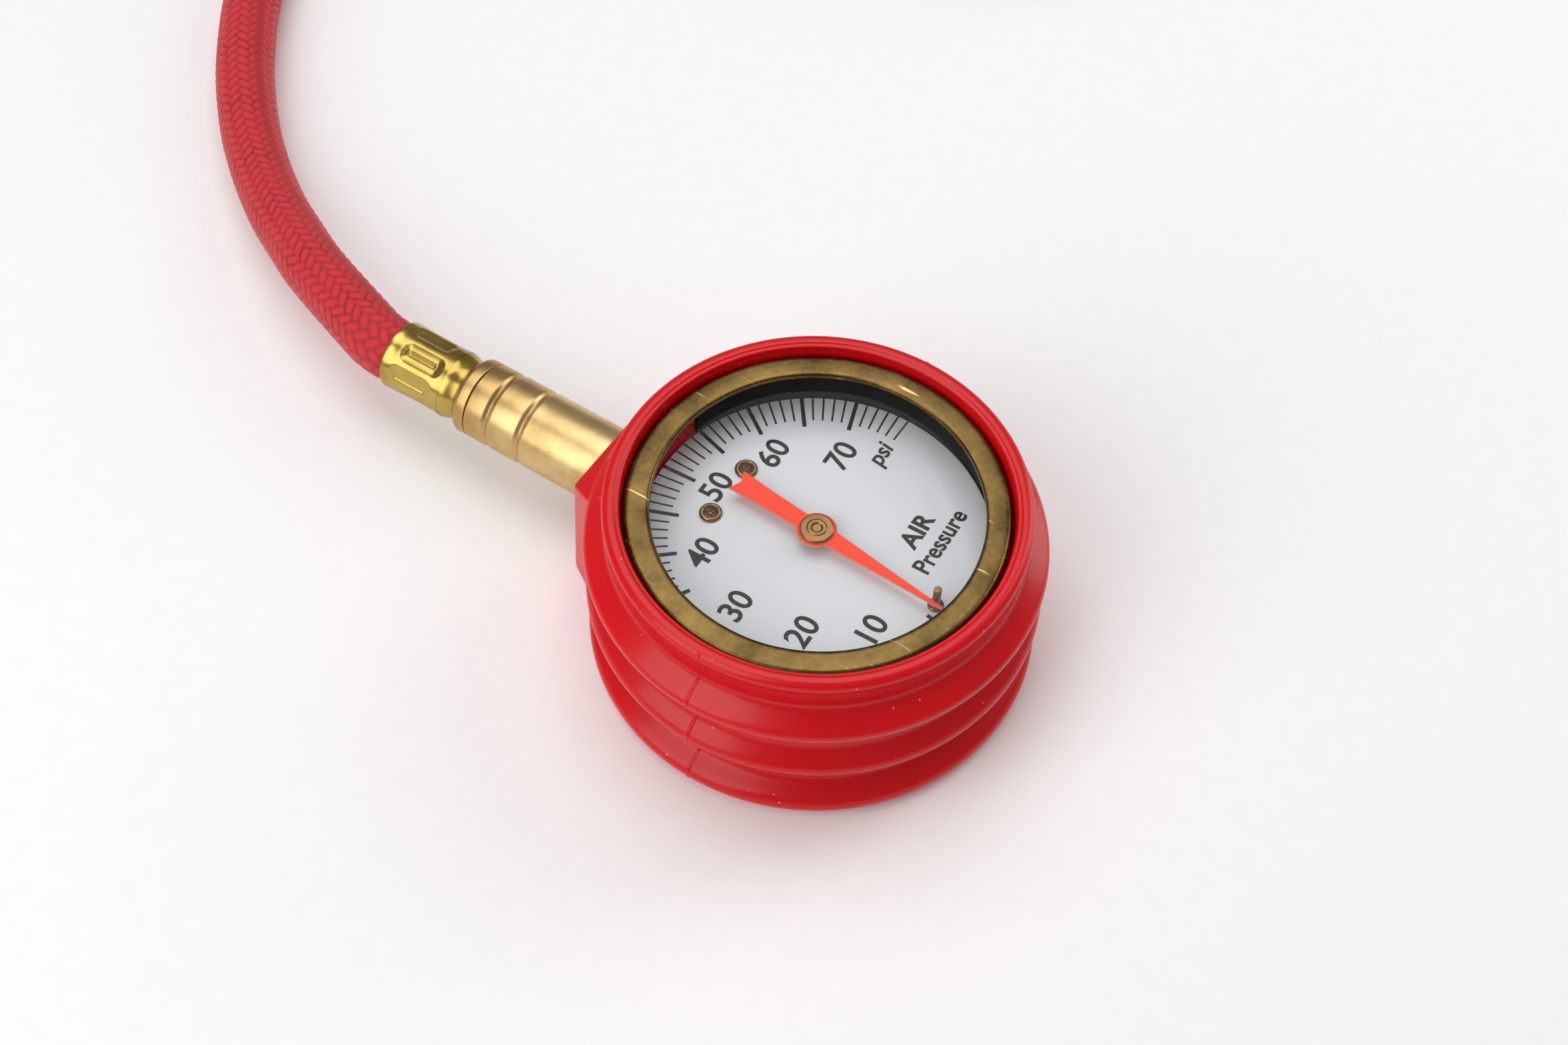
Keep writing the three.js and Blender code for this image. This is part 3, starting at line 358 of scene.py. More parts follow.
def tarnished_bezel():
    """Spun brass ring, once polished: brown tarnish in clouds, hairline scratches across it and small
    pits."""
    material, tree, shader, place = new_surface("spun_brass_tarnished", Metallic=1.0)
    clouds = add_node(tree, "TexNoise", {"Scale": 130.0, "Detail": 7.0, "Roughness": 0.7},
                      {"Vector": place})  # 8 mm
    spread = add_node(tree, "MapRange", {"From Min": 0.36, "From Max": 0.66},
                      {"Value": clouds.outputs["Fac"]})
    tone = add_node(tree, "Mix", {"data_type": "RGBA", 6: colour("#504024"), 7: colour("#80683C")},
                    {0: spread.outputs["Result"]})
    across = add_node(tree, "Mapping", {"Rotation": (0, 0, 0.7), "Scale": (1.0, 0.06, 1.0)},
                      {"Vector": place})
    hairs = add_node(tree, "TexNoise", {"Scale": 1500.0, "Detail": 2.0}, {"Vector": across.outputs["Vector"]})
    scratch = add_node(tree, "MapRange", {"From Min": 0.68, "From Max": 0.74},
                       {"Value": hairs.outputs["Fac"]})
    scored = add_node(tree, "Mix", {"data_type": "RGBA", 7: colour("#C8AE78")},
                      {0: scratch.outputs["Result"], 6: tone.outputs[2]})
    tree.links.new(scored.outputs[2], shader.inputs["Base Color"])
    shine = add_node(tree, "MapRange", {"To Min": 0.17, "To Max": 0.36}, {"Value": clouds.outputs["Fac"]})
    tree.links.new(shine.outputs["Result"], shader.inputs["Roughness"])
    pits = add_node(tree, "TexNoise", {"Scale": 900.0, "Detail": 4.0}, {"Vector": place})  # about 1 mm
    bump = add_node(tree, "Bump", {"Strength": 0.2, "Distance": 0.0001}, {"Height": pits.outputs["Fac"]})
    tree.links.new(bump.outputs["Normal"], shader.inputs["Normal"])
    return material


def braided_yarn():
    """Polyester yarn braided over a rubber hose: floats that stand proud and catch the light, with painted
    shade that darkens the yarn where one dives under the next, and the soft pale sheen of fibre at the edges.
    A painted shade band, a deeper red stripe, runs along one upper side of the hose."""
    material, tree, shader, place = new_surface(
        "braided_polyester_yarn", Roughness=0.72, Sheen_Weight=0.18, Sheen_Roughness=0.45, IOR=1.5)
    proud = add_node(tree, "Attribute", {"attribute_name": "proud"}).outputs["Fac"]
    fibre = add_node(tree, "TexNoise", {"Scale": 2600.0, "Detail": 2.0}, {"Vector": place})  # 0.4 mm tufts
    # painted shade: the yarn is mixed towards dark #7A0A14 where the braid is low, where one strand dives
    # under the next
    depth = add_node(tree, "MapRange", {"From Min": 0.1, "From Max": 0.75}, {"Value": proud})
    yarn = add_node(tree, "Mix", {"data_type": "RGBA", 6: colour("#C6131E"), 7: colour("#DA2A32")},
                    {0: fibre.outputs["Fac"]})
    crevice_shaded = add_node(tree, "Mix", {"data_type": "RGBA", 6: colour("#7A0A14")},
                     {0: depth.outputs["Result"], 7: yarn.outputs[2]})
    # painted shade: a deeper red #A80C16 band darkens the yarn along one upper side of the hose
    painted_shade_band = add_node(tree, "Attribute", {"attribute_name": "painted_shade_band"}).outputs["Fac"]
    shade_banded = add_node(tree, "Mix", {"data_type": "RGBA", 7: colour("#A80C16")},
                      {0: painted_shade_band, 6: crevice_shaded.outputs[2]})
    tree.links.new(shade_banded.outputs[2], shader.inputs["Base Color"])
    bump = add_node(tree, "Bump", {"Strength": 0.35, "Distance": 0.0002}, {"Height": fibre.outputs["Fac"]})
    tree.links.new(bump.outputs["Normal"], shader.inputs["Normal"])
    return material


def enamelled_dial():
    """White enamel on a sheet dial: smooth, cool white, with a faint orange-peel from the roller."""
    material, tree, shader, place = new_surface("white_dial_enamel", Specular_IOR_Level=0.35)
    peel = mottled(tree, shader, place, "#D6D9DC", "#D9DCDF", 4)
    shine = add_node(tree, "MapRange", {"To Min": 0.44, "To Max": 0.48}, {"Value": peel})
    tree.links.new(shine.outputs["Result"], shader.inputs["Roughness"])
    return material


def printing_ink():
    """Pad-printed black ink: matte, a little thin in places."""
    material, tree, shader, place = new_surface("black_printing_ink", Roughness=0.6, Specular_IOR_Level=0.2)
    mottled(tree, shader, place, "#0B0B0A", "#191917", 0.5556)
    return material


def pointer_paint():
    """Fluorescent orange-red lacquer on stamped aluminium: matte faces with a few dark specks, and
    bare metal on the sheared edges."""
    material, tree, shader, place = new_surface("orange_pointer_lacquer", Roughness=0.55,
                                                Specular_IOR_Level=0.2)
    specks = add_node(tree, "TexVoronoi", {"Scale": 900.0}, {"Vector": place})  # 1.1 mm apart
    near = add_node(tree, "MapRange", {"From Min": 0.09, "From Max": 0.05},
                    {"Value": specks.outputs["Distance"]})
    kind = add_node(tree, "MapRange", {"From Min": 0.74, "From Max": 0.76},
                    {"Value": specks.outputs["Color"]})
    dark = add_node(tree, "Math", {"operation": "MULTIPLY"},
                    {0: near.outputs["Result"], 1: kind.outputs["Result"]})
    paint = add_node(tree, "Mix", {"data_type": "RGBA", 6: colour("#FF3C14"), 7: colour("#8C2010")},
                     {0: dark.outputs["Value"]})
    sheared = add_node(tree, "Attribute", {"attribute_name": "sheared"})
    coat = add_node(tree, "Mix", {"data_type": "RGBA", 7: colour("#C9A79B")},
                    {0: sheared.outputs["Fac"], 6: paint.outputs[2]})
    tree.links.new(coat.outputs[2], shader.inputs["Base Color"])
    return material


def stoving_enamel():
    """Black stoving enamel inside the pressed case: near-black and satin, with a faint waviness."""
    material, tree, shader, place = new_surface("black_stoving_enamel", Roughness=0.35,
                                                Specular_IOR_Level=0.15)
    wave = mottled(tree, shader, place, "#0C0D0B", "#161714", 6.25)
    bump = add_node(tree, "Bump", {"Strength": 0.06, "Distance": 0.0003}, {"Height": wave})
    tree.links.new(bump.outputs["Normal"], shader.inputs["Normal"])
    return material


def clear_lens():
    """Clear cast acrylic, polished. What is behind it shows unbent, and only a faint shine is its own,
    so the shader is a mirror at a hundredth of its strength and not a refracting solid."""
    material, tree, shader, place = new_surface("clear_acrylic", Metallic=1.0, Roughness=0.02, Alpha=0.01)
    mottled(tree, shader, place, "#F2F5F5", "#FFFFFF", 11.11)
    return material


def black_seal_rubber():
    """Moulded nitrile rubber: matte black, with a grey bloom in patches."""
    material, tree, shader, place = new_surface("nitrile_rubber", Roughness=0.6)
    mottled(tree, shader, place, "#161616", "#2C2C2A", 2.5, 3.0)
    return material


RING_MARKS = (1.0, 1.0, 1.0)
ALONG_STEM = (0.15, 6.0, 0.15)  # lathe marks run round the stem, so they change fast along it

pvc = moulded_pvc()
bezel_brass = tarnished_bezel()
stem_brass = worn_metal("turned_brass_satin", "#B5925A", "#DFC088", 0.27, 0.42, ALONG_STEM, 900.0)
gilt_brass = worn_metal("pressed_brass_bright", "#A88C42", "#CAAE60", 0.16, 0.3, RING_MARKS, 400.0)
hub_brass = worn_metal("turned_brass_bright", "#6A4A23", "#8C6534", 0.16, 0.28, RING_MARKS, 1200.0)
movement_brass = worn_metal("stamped_brass", "#B08A45", "#CBA560", 0.22, 0.38, (1.0, 0.1, 1.0), 800.0)
spring_bronze = worn_metal("drawn_phosphor_bronze", "#A8693A", "#C48650", 0.2, 0.34, (0.2, 0.2, 3.0), 900.0)
plated_steel = worn_metal("nickel_plated_steel", "#8E8F92", "#B4B5B8", 0.2, 0.36, RING_MARKS, 900.0)
yarn = braided_yarn()
dial_enamel = enamelled_dial()
ink = printing_ink()
orange = pointer_paint()
case_black = stoving_enamel()
acrylic = clear_lens()
nitrile = black_seal_rubber()


# ---- hose ----
# Points along its middle in metres: x and y from the ferrule's mouth, and the height above the bench.
HOSE_ROUTE = [
    (0, 0, 0.0106), (0, 0.00215, 0.0106), (0.00035, 0.00455, 0.0106), (0.0013, 0.00755, 0.0105),
    (0.0028, 0.01185, 0.0103), (0.0049, 0.01755, 0.0098), (0.0074, 0.02355, 0.009), (0.0105, 0.02945, 0.0079),
    (0.0141, 0.03605, 0.0067), (0.0182, 0.04235, 0.0056), (0.0223, 0.04795, 0.005), (0.0264, 0.05295, 0.0049),
    (0.0354, 0.06195, 0.0049), (0.0456, 0.07005, 0.0049), (0.0511, 0.07375, 0.0049),
    (0.0622, 0.08045, 0.0049),
    (0.0741, 0.08585, 0.0049), (0.0864, 0.08995, 0.0049), (0.0991, 0.09275, 0.0049), (0.112, 0.09415, 0.0049),
    (0.123, 0.09395, 0.0049), (0.1336, 0.09135, 0.0049), (0.1434, 0.08625, 0.0049), (0.1516, 0.07905, 0.0049),
    (0.158, 0.07005, 0.0049), (0.162, 0.05985, 0.0049), (0.1635, 0.04895, 0.0049), (0.1635, 0.03495, 0.005),
    (0.1635, 0.02095, 0.0057), (0.1635, 0.00695, 0.0069), (0.1635, -0.00505, 0.0076),
    (0.1635, -0.01605, 0.0078),
]
INTO_FERRULE = 4.0  # hose inside each sleeve
STRANDS = 16  # in each direction
HOSE_STEP = 0.325
HOSE_SIDES = 96
FLOAT_HEIGHT = 0.16
SHADE_BAND_AT = 0.15  # turns round from the level side to the middle of the painted shade band
SHADE_BAND_HALF = 0.55


def smooth_path(points, step):
    """Centripetal Catmull-Rom curve through the points, sampled at even steps. Knots are the running
    sum of the square root of each span, and the ends are reflected."""
    ends = np.vstack([2 * points[:1] - points[1:2], points, 2 * points[-1:] - points[-2:-1]])
    gap = np.sqrt(np.linalg.norm(np.diff(ends, axis=0), axis=1))[:, None]
    slope = np.diff(ends, axis=0) / gap
    chord = (ends[2:] - ends[:-2]) / (gap[:-1] + gap[1:])
    tangent = slope[:-1] - chord + slope[1:]
    t = np.linspace(0, 1, 80, endpoint=False)[None, :, None]
    span_knots = gap[1:-1, None]
    curve = ((2 * t ** 3 - 3 * t ** 2 + 1) * points[:-1, None]
             + (t ** 3 - 2 * t ** 2 + t) * tangent[:-1, None] * span_knots
             + (3 * t ** 2 - 2 * t ** 3) * points[1:, None]
             + (t ** 3 - t ** 2) * tangent[1:, None] * span_knots)
    fine = np.vstack([curve.reshape(-1, 3), points[-1:]])
    run = np.concatenate([[0], np.cumsum(np.linalg.norm(np.diff(fine, axis=0), axis=1))])
    even = np.linspace(0, run[-1], int(run[-1] / step) + 1)
    return np.column_stack([np.interp(even, run, fine[:, k]) for k in range(3)]), even


def braid_height(around, along):
    """Height of a two-over-two-under braid, 0 to 1. Strands of one family count up as a = n u + v / p,
    of the other as b = n u - v / p. Where (floor a + floor b) mod 4 is below 2 the first is on top.
    A float is round across, 1 - (2f - 1)^2, and arched along its two crossings, sin(pi l)."""
    pitch = 2 * np.pi * HOSE_R / STRANDS
    a = STRANDS * around + along / pitch
    b = STRANDS * around - along / pitch
    first_on_top = (np.floor(a) + np.floor(b)) % 4 < 2
    across = np.where(first_on_top, a % 1, b % 1)
    along_float = np.where(first_on_top, (np.floor(a) + b) % 4 / 2, ((a + np.floor(b)) % 4 - 2) / 2)
    return (1 - (2 * across - 1) ** 2) ** 0.6 * (0.45 + 0.55 * np.sin(np.pi * np.clip(along_float, 0, 1)))


def make_hose():
    """A tube carried along the route. Its section's axes are the level and the upright normal of the
    path, so it has no twist. The braid's height is added to the radius, which narrows in each sleeve."""
    route = np.array(HOSE_ROUTE) / MM + (0, HOSE_START, 0)
    route = np.vstack([route[:1] - (0, INTO_FERRULE, 0), route, route[-1:] - (0, INTO_FERRULE, 0)])
    path, run = smooth_path(route, HOSE_STEP)
    ahead = np.gradient(path, axis=0)
    ahead /= np.linalg.norm(ahead, axis=1, keepdims=True)
    upright = np.array([0, 0, 1]) - ahead[:, 2:] * ahead
    upright /= np.linalg.norm(upright, axis=1, keepdims=True)
    level = np.cross(ahead, upright)
    around = np.arange(HOSE_SIDES)[None, :] / HOSE_SIDES
    height = braid_height(around, run[:, None])
    inside = np.minimum(run, run[-1] - run)[:, None] / INTO_FERRULE
    pinch = np.clip(1.5 - inside, 0, 1)
    radius = HOSE_R - FLOAT_HEIGHT * (1 - height) - 0.55 * pinch ** 2 * (3 - 2 * pinch)
    angle = 2 * np.pi * around
    grid = (path[:, None] + (radius * np.cos(angle))[..., None] * level[:, None]
            + (radius * np.sin(angle))[..., None] * upright[:, None])
    piece = closed_surface("braided_hose", grid, path[[0, -1]])
    proud = piece.data.attributes.new("proud", "FLOAT", "POINT")
    proud.data.foreach_set("value", np.append(height.ravel(), [0, 0]).astype(np.float32))
    # painted shade: a dark band a little above the level side, set against the up direction so it stays on
    # one side of the hose and does not follow the braid
    off_line = np.abs((around - SHADE_BAND_AT + 0.5) % 1 - 0.5) * 2 * np.pi * HOSE_R
    line = (1 - soft_step(off_line + 0.3 * (1 - height), SHADE_BAND_HALF, SHADE_BAND_HALF + 0.5)) * 0.8
    painted_shade_band = piece.data.attributes.new("painted_shade_band", "FLOAT", "POINT")
    painted_shade_band.data.foreach_set("value", np.append(line.ravel(), [0, 0]).astype(np.float32))
    finished(piece, "gauge", yarn, "hose_braid", "hose")


# ---- crimped sleeves ----
DENTS = 8
DENT_LENGTH = 6.6
DENT_WIDTH = 2.5
DENT_DEPTH = 0.42
DENT_STAGGER = 0.7
DENT_CORNER = 0.9


def soft_step(value, low, high):
    """0 below low, 1 above high, 3x^2 - 2x^3 between."""
    x = np.clip((value - low) / (high - low), 0, 1)
    return x * x * (3 - 2 * x)


def crimped(r, h, t):
    """Radius of a crimped sleeve: each dent is a soft trough with a crisper flat floor, and one in two
    is set further from the mouth. Past is the distance from a rectangle with round corners, below
    zero inside it."""
    turn = t / (2 * np.pi) * DENTS
    sideways = np.abs((turn % 1 - 0.5) / DENTS * 2 * np.pi * FERRULE_R) - DENT_WIDTH / 2
    middle = FERRULE * 0.6 - DENT_STAGGER * (np.floor(turn) % 2)
    lengthways = np.abs(h - middle) - DENT_LENGTH / 2
    l, s = lengthways + DENT_CORNER, sideways + DENT_CORNER
    past = np.hypot(np.maximum(l, 0), np.maximum(s, 0)) + np.minimum(np.maximum(l, s), 0) - DENT_CORNER
    dent = DENT_DEPTH * (0.6 * (1 - soft_step(past, -0.5, 0.6)) + 0.4 * (1 - soft_step(past, -0.7, -0.3)))
    ridge = 0.05 * np.exp(-((past + 0.85) / 0.18) ** 2)
    return r - np.where(r > FERRULE_R - 0.55, dent - ridge, 0)


def sleeve_outline(length):
    """From the collar end to the mouth: a narrow neck, a concave shoulder, the crimped length and a
    flared mouth with a rolled edge, then back along the bore."""
    r = FERRULE_R
    flare = [(r - 0.06, length - 1.1, 0.5), (r, length - 0.45, 0.3), (r - 0.02, length, 0.12)]
    bore = [(r - 0.5, length, 0.12), (r - 0.62, length - 0.6, 0.3), (r - 0.85, 2.4, 0.3), (r - 1.3, 1.5, 0.3)]
    neck = [(r - 1.3, 0, 0.1), (r - 0.85, 0, 0.12), (r - 0.62, 0.9, 0.5), (r - 0.1, 2.3, 0.9)]
    outline = rounded([*neck, *flare, *bore])
    outer = np.linspace(2.6, length - 1.6, 90)
    straight = np.column_stack([np.full(90, r - 0.1) + 0.04 * (outer / length), outer])
    split = np.argmax(outline[:, 1] > length / 2)
    return np.vstack([outline[:split], straight, outline[split:]])


def make_sleeves():
    for name, node, x, z in (("stem_sleeve", "stem_ferrule", 0, STEM_Z),
                             ("chuck_sleeve", "chuck_ferrule", CHUCK_X, CHUCK_Z)):
        collar_end = span(node)[0][1]
        sleeve = turned(name, sleeve_outline(FERRULE), (x, collar_end, z), (0, 1, 0), 192, crimped)
        finished(sleeve, "gauge", gilt_brass, "ferrule_brass", node)


# ---- stem ----
GROOVES_BACK = (9.25, 3.55)  # from the stem's end
GROOVE_HALF = 0.62
GROOVE_DEPTH = 0.42
SPIGOT_R = 3.0
STEM_INSIDE = 2.3  # its shoulder inside the case's outside


def make_stem():
    """A plain turned barrel with two shallow V grooves, then a narrow dark joint and the collar."""
    start, end = stem_low[1], stem_high[1]
    r = STEM_R
    grooves = []
    for back in GROOVES_BACK:
        y = end - back
        grooves += [(r, y - GROOVE_HALF, 0.22), (r - GROOVE_DEPTH, y, 0.2), (r, y + GROOVE_HALF, 0.22)]
    shoulder = CASE_R - STEM_INSIDE
    barrel = rounded([(0, start, 0), (SPIGOT_R, start, 0.2), (SPIGOT_R, shoulder, 0.2), (r, shoulder, 0.3),
                      *grooves,
                      (r, end, 0.16), (0, end, 0)])
    finished(turned("stem_barrel", barrel, *STEM_AXIS), "gauge", stem_brass, "stem_brass", "stem_body")
    low, high = stem_high[1] + 0.12, ferrule_low[1]
    collar = rounded([(0, low - 3, 0), (4.2, low - 3, 0.1), (4.2, low, 0.05), (r, low, 0.14),
                      (r, high - 0.9, 0.25),
                      (r - 0.75, high - 0.05, 0.2), (0, high - 0.05, 0)])
    finished(turned("stem_collar", collar, *STEM_AXIS), "gauge", stem_brass, "stem_brass", "hose_fitting")


# ---- rubber guard ----
BAND_R = 28.2
RIB_HEIGHTS = (12.2, 20.9)
VALLEY_R = 28.9
SEAM_AT = (0.0, 180.0)  # degrees round the guard, where the two halves of the mould met
SEAM_RISE = 0.13
SEAM_HALF = 0.17
BOSS_HALF = 9.3
BOSS_DRAFT = 0.08  # wider by this share of the depth below the top edge
BOSS_ROOT_HALF = 13.6
BOSS_ROOT_Y = 26.6
BOSS_EDGE_Z = 17.6
BOSS_SLOPE = 0.52  # rise of the top facet towards the dial
ROW_STEP = 0.26
TONGUE_HALF = 13.5  # degrees each side of the stem
TONGUE_T = CASE_WALL - 0.1  # a little less than the wall whose slot it fills


def guard_outline():
    """Back, foot rib, flat band, two ridged ribs, band, lip, bezel seat, case bore and floor."""
    foot = [(0, 0, 0), (29.7, 0, 0.8), (RIB_R, 1.5, 1.3), (RIB_R, 3.5, 1.2), (BAND_R, 5.1, 0.9)]
    middle, top = RIB_HEIGHTS
    ribs = [(BAND_R, middle - 3.0, 0.7), (RIB_R, middle - 0.8, 0.7), (RIB_R, middle + 0.6, 0.8),
            (VALLEY_R, middle + 3.0, 0.9), (VALLEY_R, top - 2.9, 0.9), (RIB_R, top - 0.8, 0.7),
            (RIB_R, top + 0.6, 0.8), (BAND_R, top + 2.9, 0.8)]
    lip = [(28.45, 27.5, 0.5), (28.6, 27.7, 0.12), (28.6, LIP_TOP - 0.6, 0.55), (27.9, LIP_TOP - 0.02, 0.45),
           (27.0, LIP_TOP - 0.02, 0.3), (26.75, LIP_TOP - 0.22, 0.12), (26.3, LIP_TOP - 0.25, 0.25),
           (BEZEL_R + FIT, BEZEL_TOP - 0.5, 0.3)]
    inside = [(BEZEL_R + FIT, bezel_low[2] - FIT, 0.1), (CASE_R + FIT, bezel_low[2] - FIT, 0.1),
              (CASE_R + FIT, case_low[2] - FIT, 0.2), (0, case_low[2] - FIT, 0)]
    return rounded([*foot, *ribs, *lip, *inside], 7)


def evenly(outline, step):
    """The outline with extra points where two are more than a step apart."""
    run = np.concatenate([[0], np.cumsum(np.linalg.norm(np.diff(outline, axis=0), axis=1))])
    marks = np.unique(np.concatenate([run, np.arange(0, run[-1], step)]))
    marks = marks[np.concatenate([[True], np.diff(marks) > 0.3 * step])]
    return np.column_stack([np.interp(marks, run, outline[:, 0]), np.interp(marks, run, outline[:, 1])])


def smooth_least(a, b, soft):
    return (a + b - np.sqrt((a - b) ** 2 + soft ** 2)) / 2


def boss_reach(t, z):
    """Distance from the dial's axis to the boss's faces along the ray t: the least of the distances to
    its front face, its two drafted side facets, its flanks and its sloping top, blended at the edges."""
    sine = np.maximum(np.sin(t), 1e-3)
    side = np.abs(np.cos(t))
    front_y = BOSS_END - 0.03
    half = BOSS_HALF + BOSS_DRAFT * (BOSS_EDGE_Z - z)
    root = BOSS_ROOT_HALF + BOSS_DRAFT * (BOSS_EDGE_Z - z)
    across, down = front_y - BOSS_ROOT_Y, root - half
    facet = (across * half + down * front_y) / (across * side + down * sine)
    flank = root / np.maximum(side, 1e-3)
    slope_y = front_y - np.maximum(z - BOSS_EDGE_Z, 0) / BOSS_SLOPE
    reach = smooth_least(front_y / sine, facet, 0.25)
    reach = smooth_least(reach, slope_y / sine, 0.25)
    return np.where(np.sin(t) > 0.2, smooth_least(reach, flank, 0.25), 0)


def tongue(outer_r, top):
    """A curved bar over the stem: a four-cornered section (r, z) carried round an arc t."""
    t = np.radians(90 + np.linspace(-TONGUE_HALF, TONGUE_HALF, 25))[:, None]
    inner_r = CASE_R - TONGUE_T
    r = np.array([[inner_r, outer_r, outer_r, inner_r]])
    z = np.array([[STEM_Z, STEM_Z, top, top]])
    grid = np.stack([r * np.cos(t), r * np.sin(t), z + 0 * t], axis=-1)
    return closed_surface("tongue", grid, grid[[0, -1]].mean(1))


def make_guard():
    """Surface of revolution whose outer radius is the greater of the ribbed outline and the boss. A
    thin raised line, exp(-(d / w)^2) high, follows it where the mould closed."""
    outline = guard_outline()
    wall = np.flatnonzero((outline[:, 0] > BAND_R - 0.1) & (outline[:, 1] < LIP_TOP - 0.5))
    outline = np.vstack([outline[:wall[0]], evenly(outline[wall], ROW_STEP), outline[wall[-1] + 1:]])
    ring = outline[1:-1]
    seams = np.radians(SEAM_AT)
    close = np.linspace(-0.028, 0.028, 17)
    t = np.unique(np.concatenate([np.linspace(-np.pi, np.pi, 190, endpoint=False),
                                  np.radians(np.linspace(55, 125, 150)),
                                  seams[0] + close, seams[1] - 2 * np.pi + close[close >= 0],
                                  seams[1] + close[close < 0]]))
    t = t[np.concatenate([[True], np.diff(t) > 0.002])][None, :]
    z = ring[:, 1:] + 0 * t
    r = ring[:, :1] + 0 * t
    lip_row = np.argmax(ring[:, 1])
    outer = (np.arange(len(ring)) <= lip_row)[:, None]
    reach = boss_reach(t, z)
    meet = (r + reach + np.sqrt((r - reach) ** 2 + 0.3 ** 2)) / 2
    r = np.where(outer & (reach > r - 3) & (z > 0.01), np.maximum(meet - 0.03, r), r)
    base = outer & (z <= 0.01) & (reach > 30) & (r > 29)
    r = np.where(base, np.maximum(reach, r), r)
    gap = np.minimum(np.abs(t - seams[0]), np.pi - np.abs(t)) * r
    rise = SEAM_RISE * np.exp(-(gap / SEAM_HALF) ** 2)
    r = np.where(outer & (z > 0.5), r + rise, r)
    r = np.minimum(r, np.where(np.sin(t) > 0.6, BOSS_END / np.maximum(np.sin(t), 0.6), guard_high[0]))
    grid = np.stack([r * np.cos(t), r * np.sin(t), z], axis=-1)
    floor_z = outline[-1, 1]
    piece = closed_surface("guard_moulding", grid, np.array([[0, 0, 0], [0, 0, floor_z]]))
    for outer_r, tongue_top in ((CASE_R + 1, bezel_low[2] - 2 * FIT), (CASE_R, case_high[2] - FIT)):
        cut(piece, tongue(outer_r, tongue_top), "UNION")
    hole = turned("hole", [(0, CASE_R - 2), (STEM_R + FIT, CASE_R - 2), (STEM_R + FIT, BOSS_END + 2),
                           (0, BOSS_END + 2)],
                  *STEM_AXIS)
    cut(piece, hole)
    finished(piece, "gauge", pvc, "guard_rubber", "rubber_guard")


# ---- case, bezel, lens ----
def make_case():
    """A pressed cup with a rounded foot, open towards the stem by a slot with a round end."""
    low, top = case_low[2], case_high[2]
    cup = turned("case_shell", rounded([
        (0, low, 0), (CASE_R, low, 1.2), (CASE_R, top, 0.15), (CASE_R - CASE_WALL, top, 0.15),
        (CASE_R - CASE_WALL, low + CASE_WALL, 0.8), (0, low + CASE_WALL, 0)]), sides=192)
    arc = np.radians(np.linspace(180, 360, 25))
    half = STEM_R + 0.2
    outline = np.vstack([np.column_stack([half * np.cos(arc), half * np.sin(arc)]),
                         [(half, 30), (-half, 30)]])
    cut(cup, prism("slot", outline, CASE_R - 4, CASE_R + 4, (0, 2, 1), (0, 0, STEM_Z)))
    finished(cup, "gauge", case_black, "black_case", "case_cup")


def make_bezel():
    """A spun ring: flat face with a slight crown, a rounded outer edge, a thin inner lip and a
    skirt down the case."""
    r, top = BEZEL_R, BEZEL_TOP
    opening = BEZEL_OPENING_R
    outline = rounded([
        (CASE_R + FIT, bezel_low[2], 0.1), (r, bezel_low[2], 0.2), (r, top - 0.75, 0.5),
        (r - 0.55, top - 0.04, 0.55),
        (r - 2, top, 0.6), (opening + 0.55, top - 0.02, 0.3), (opening + 0.12, top - 0.14, 0.14),
        (opening, top - 0.42, 0.16), (opening, top - 0.9, 0.1), (CASE_R + FIT, top - 0.9, 0.1)], 7)

    def wobble(radius, h, t):
        return radius + np.where(radius < opening + 0.3, 0.03 * np.sin(7 * t) * np.sin(3 * t + 1), 0)

    finished(turned("bezel_ring", outline, sides=256, reshape=wobble), "gauge", bezel_brass, "bezel_brass",
             "bezel")


def make_lens():
    low, high = span("lens")
    edge = CASE_R - 0.1
    disc = rounded([(0, low[2], 0), (edge, low[2], 0.2), (edge, high[2], 0.2), (0, high[2], 0)])
    finished(turned("lens_disc", disc, sides=192), "gauge", acrylic, "lens_clear", "lens")


# ---- dial and its print ----
TICK_STEP = 3.76  # degrees for each psi
TICK_50 = 93.5  # where 50 psi stands
TICK_LAST = 75
MAJOR_INNER_R = 18.9
MINOR_INNER_R = 20.0
INK = 0.03
PRINT_TILT = 1.7
NUMBERS = {10: (-8.1, -13.7), 20: (-13.6, -6.3), 30: (-15.0, 3.1), 40: (-10.5, 11.5), 50: (-0.3, 16.0),
           60: (8.8, 12.6), 70: (13.6, 4.5)}
NUMBER_HEIGHT = 3.5


def make_dial():
    low, high = dial_low[2], DIAL_Z
    outline = rounded([(1.3, low, 0.05), (DIAL_R, low, 0.08), (DIAL_R, high, 0.12), (1.3, high, 0.08)])
    disc = turned("dial_plate", outline, sides=192)
    for node in ("dial_rivet_1", "dial_rivet_2", "stop_pin"):
        x, y = upright_at(node)
        bore = 0.95 if node != "stop_pin" else 0.6
        cut(disc, turned("bore", [(0, low - 1), (bore, low - 1), (bore, high + 1), (0, high + 1)], (x, y, 0),
                         sides=32))
    finished(disc, "gauge", dial_enamel, "dial_face", "dial")


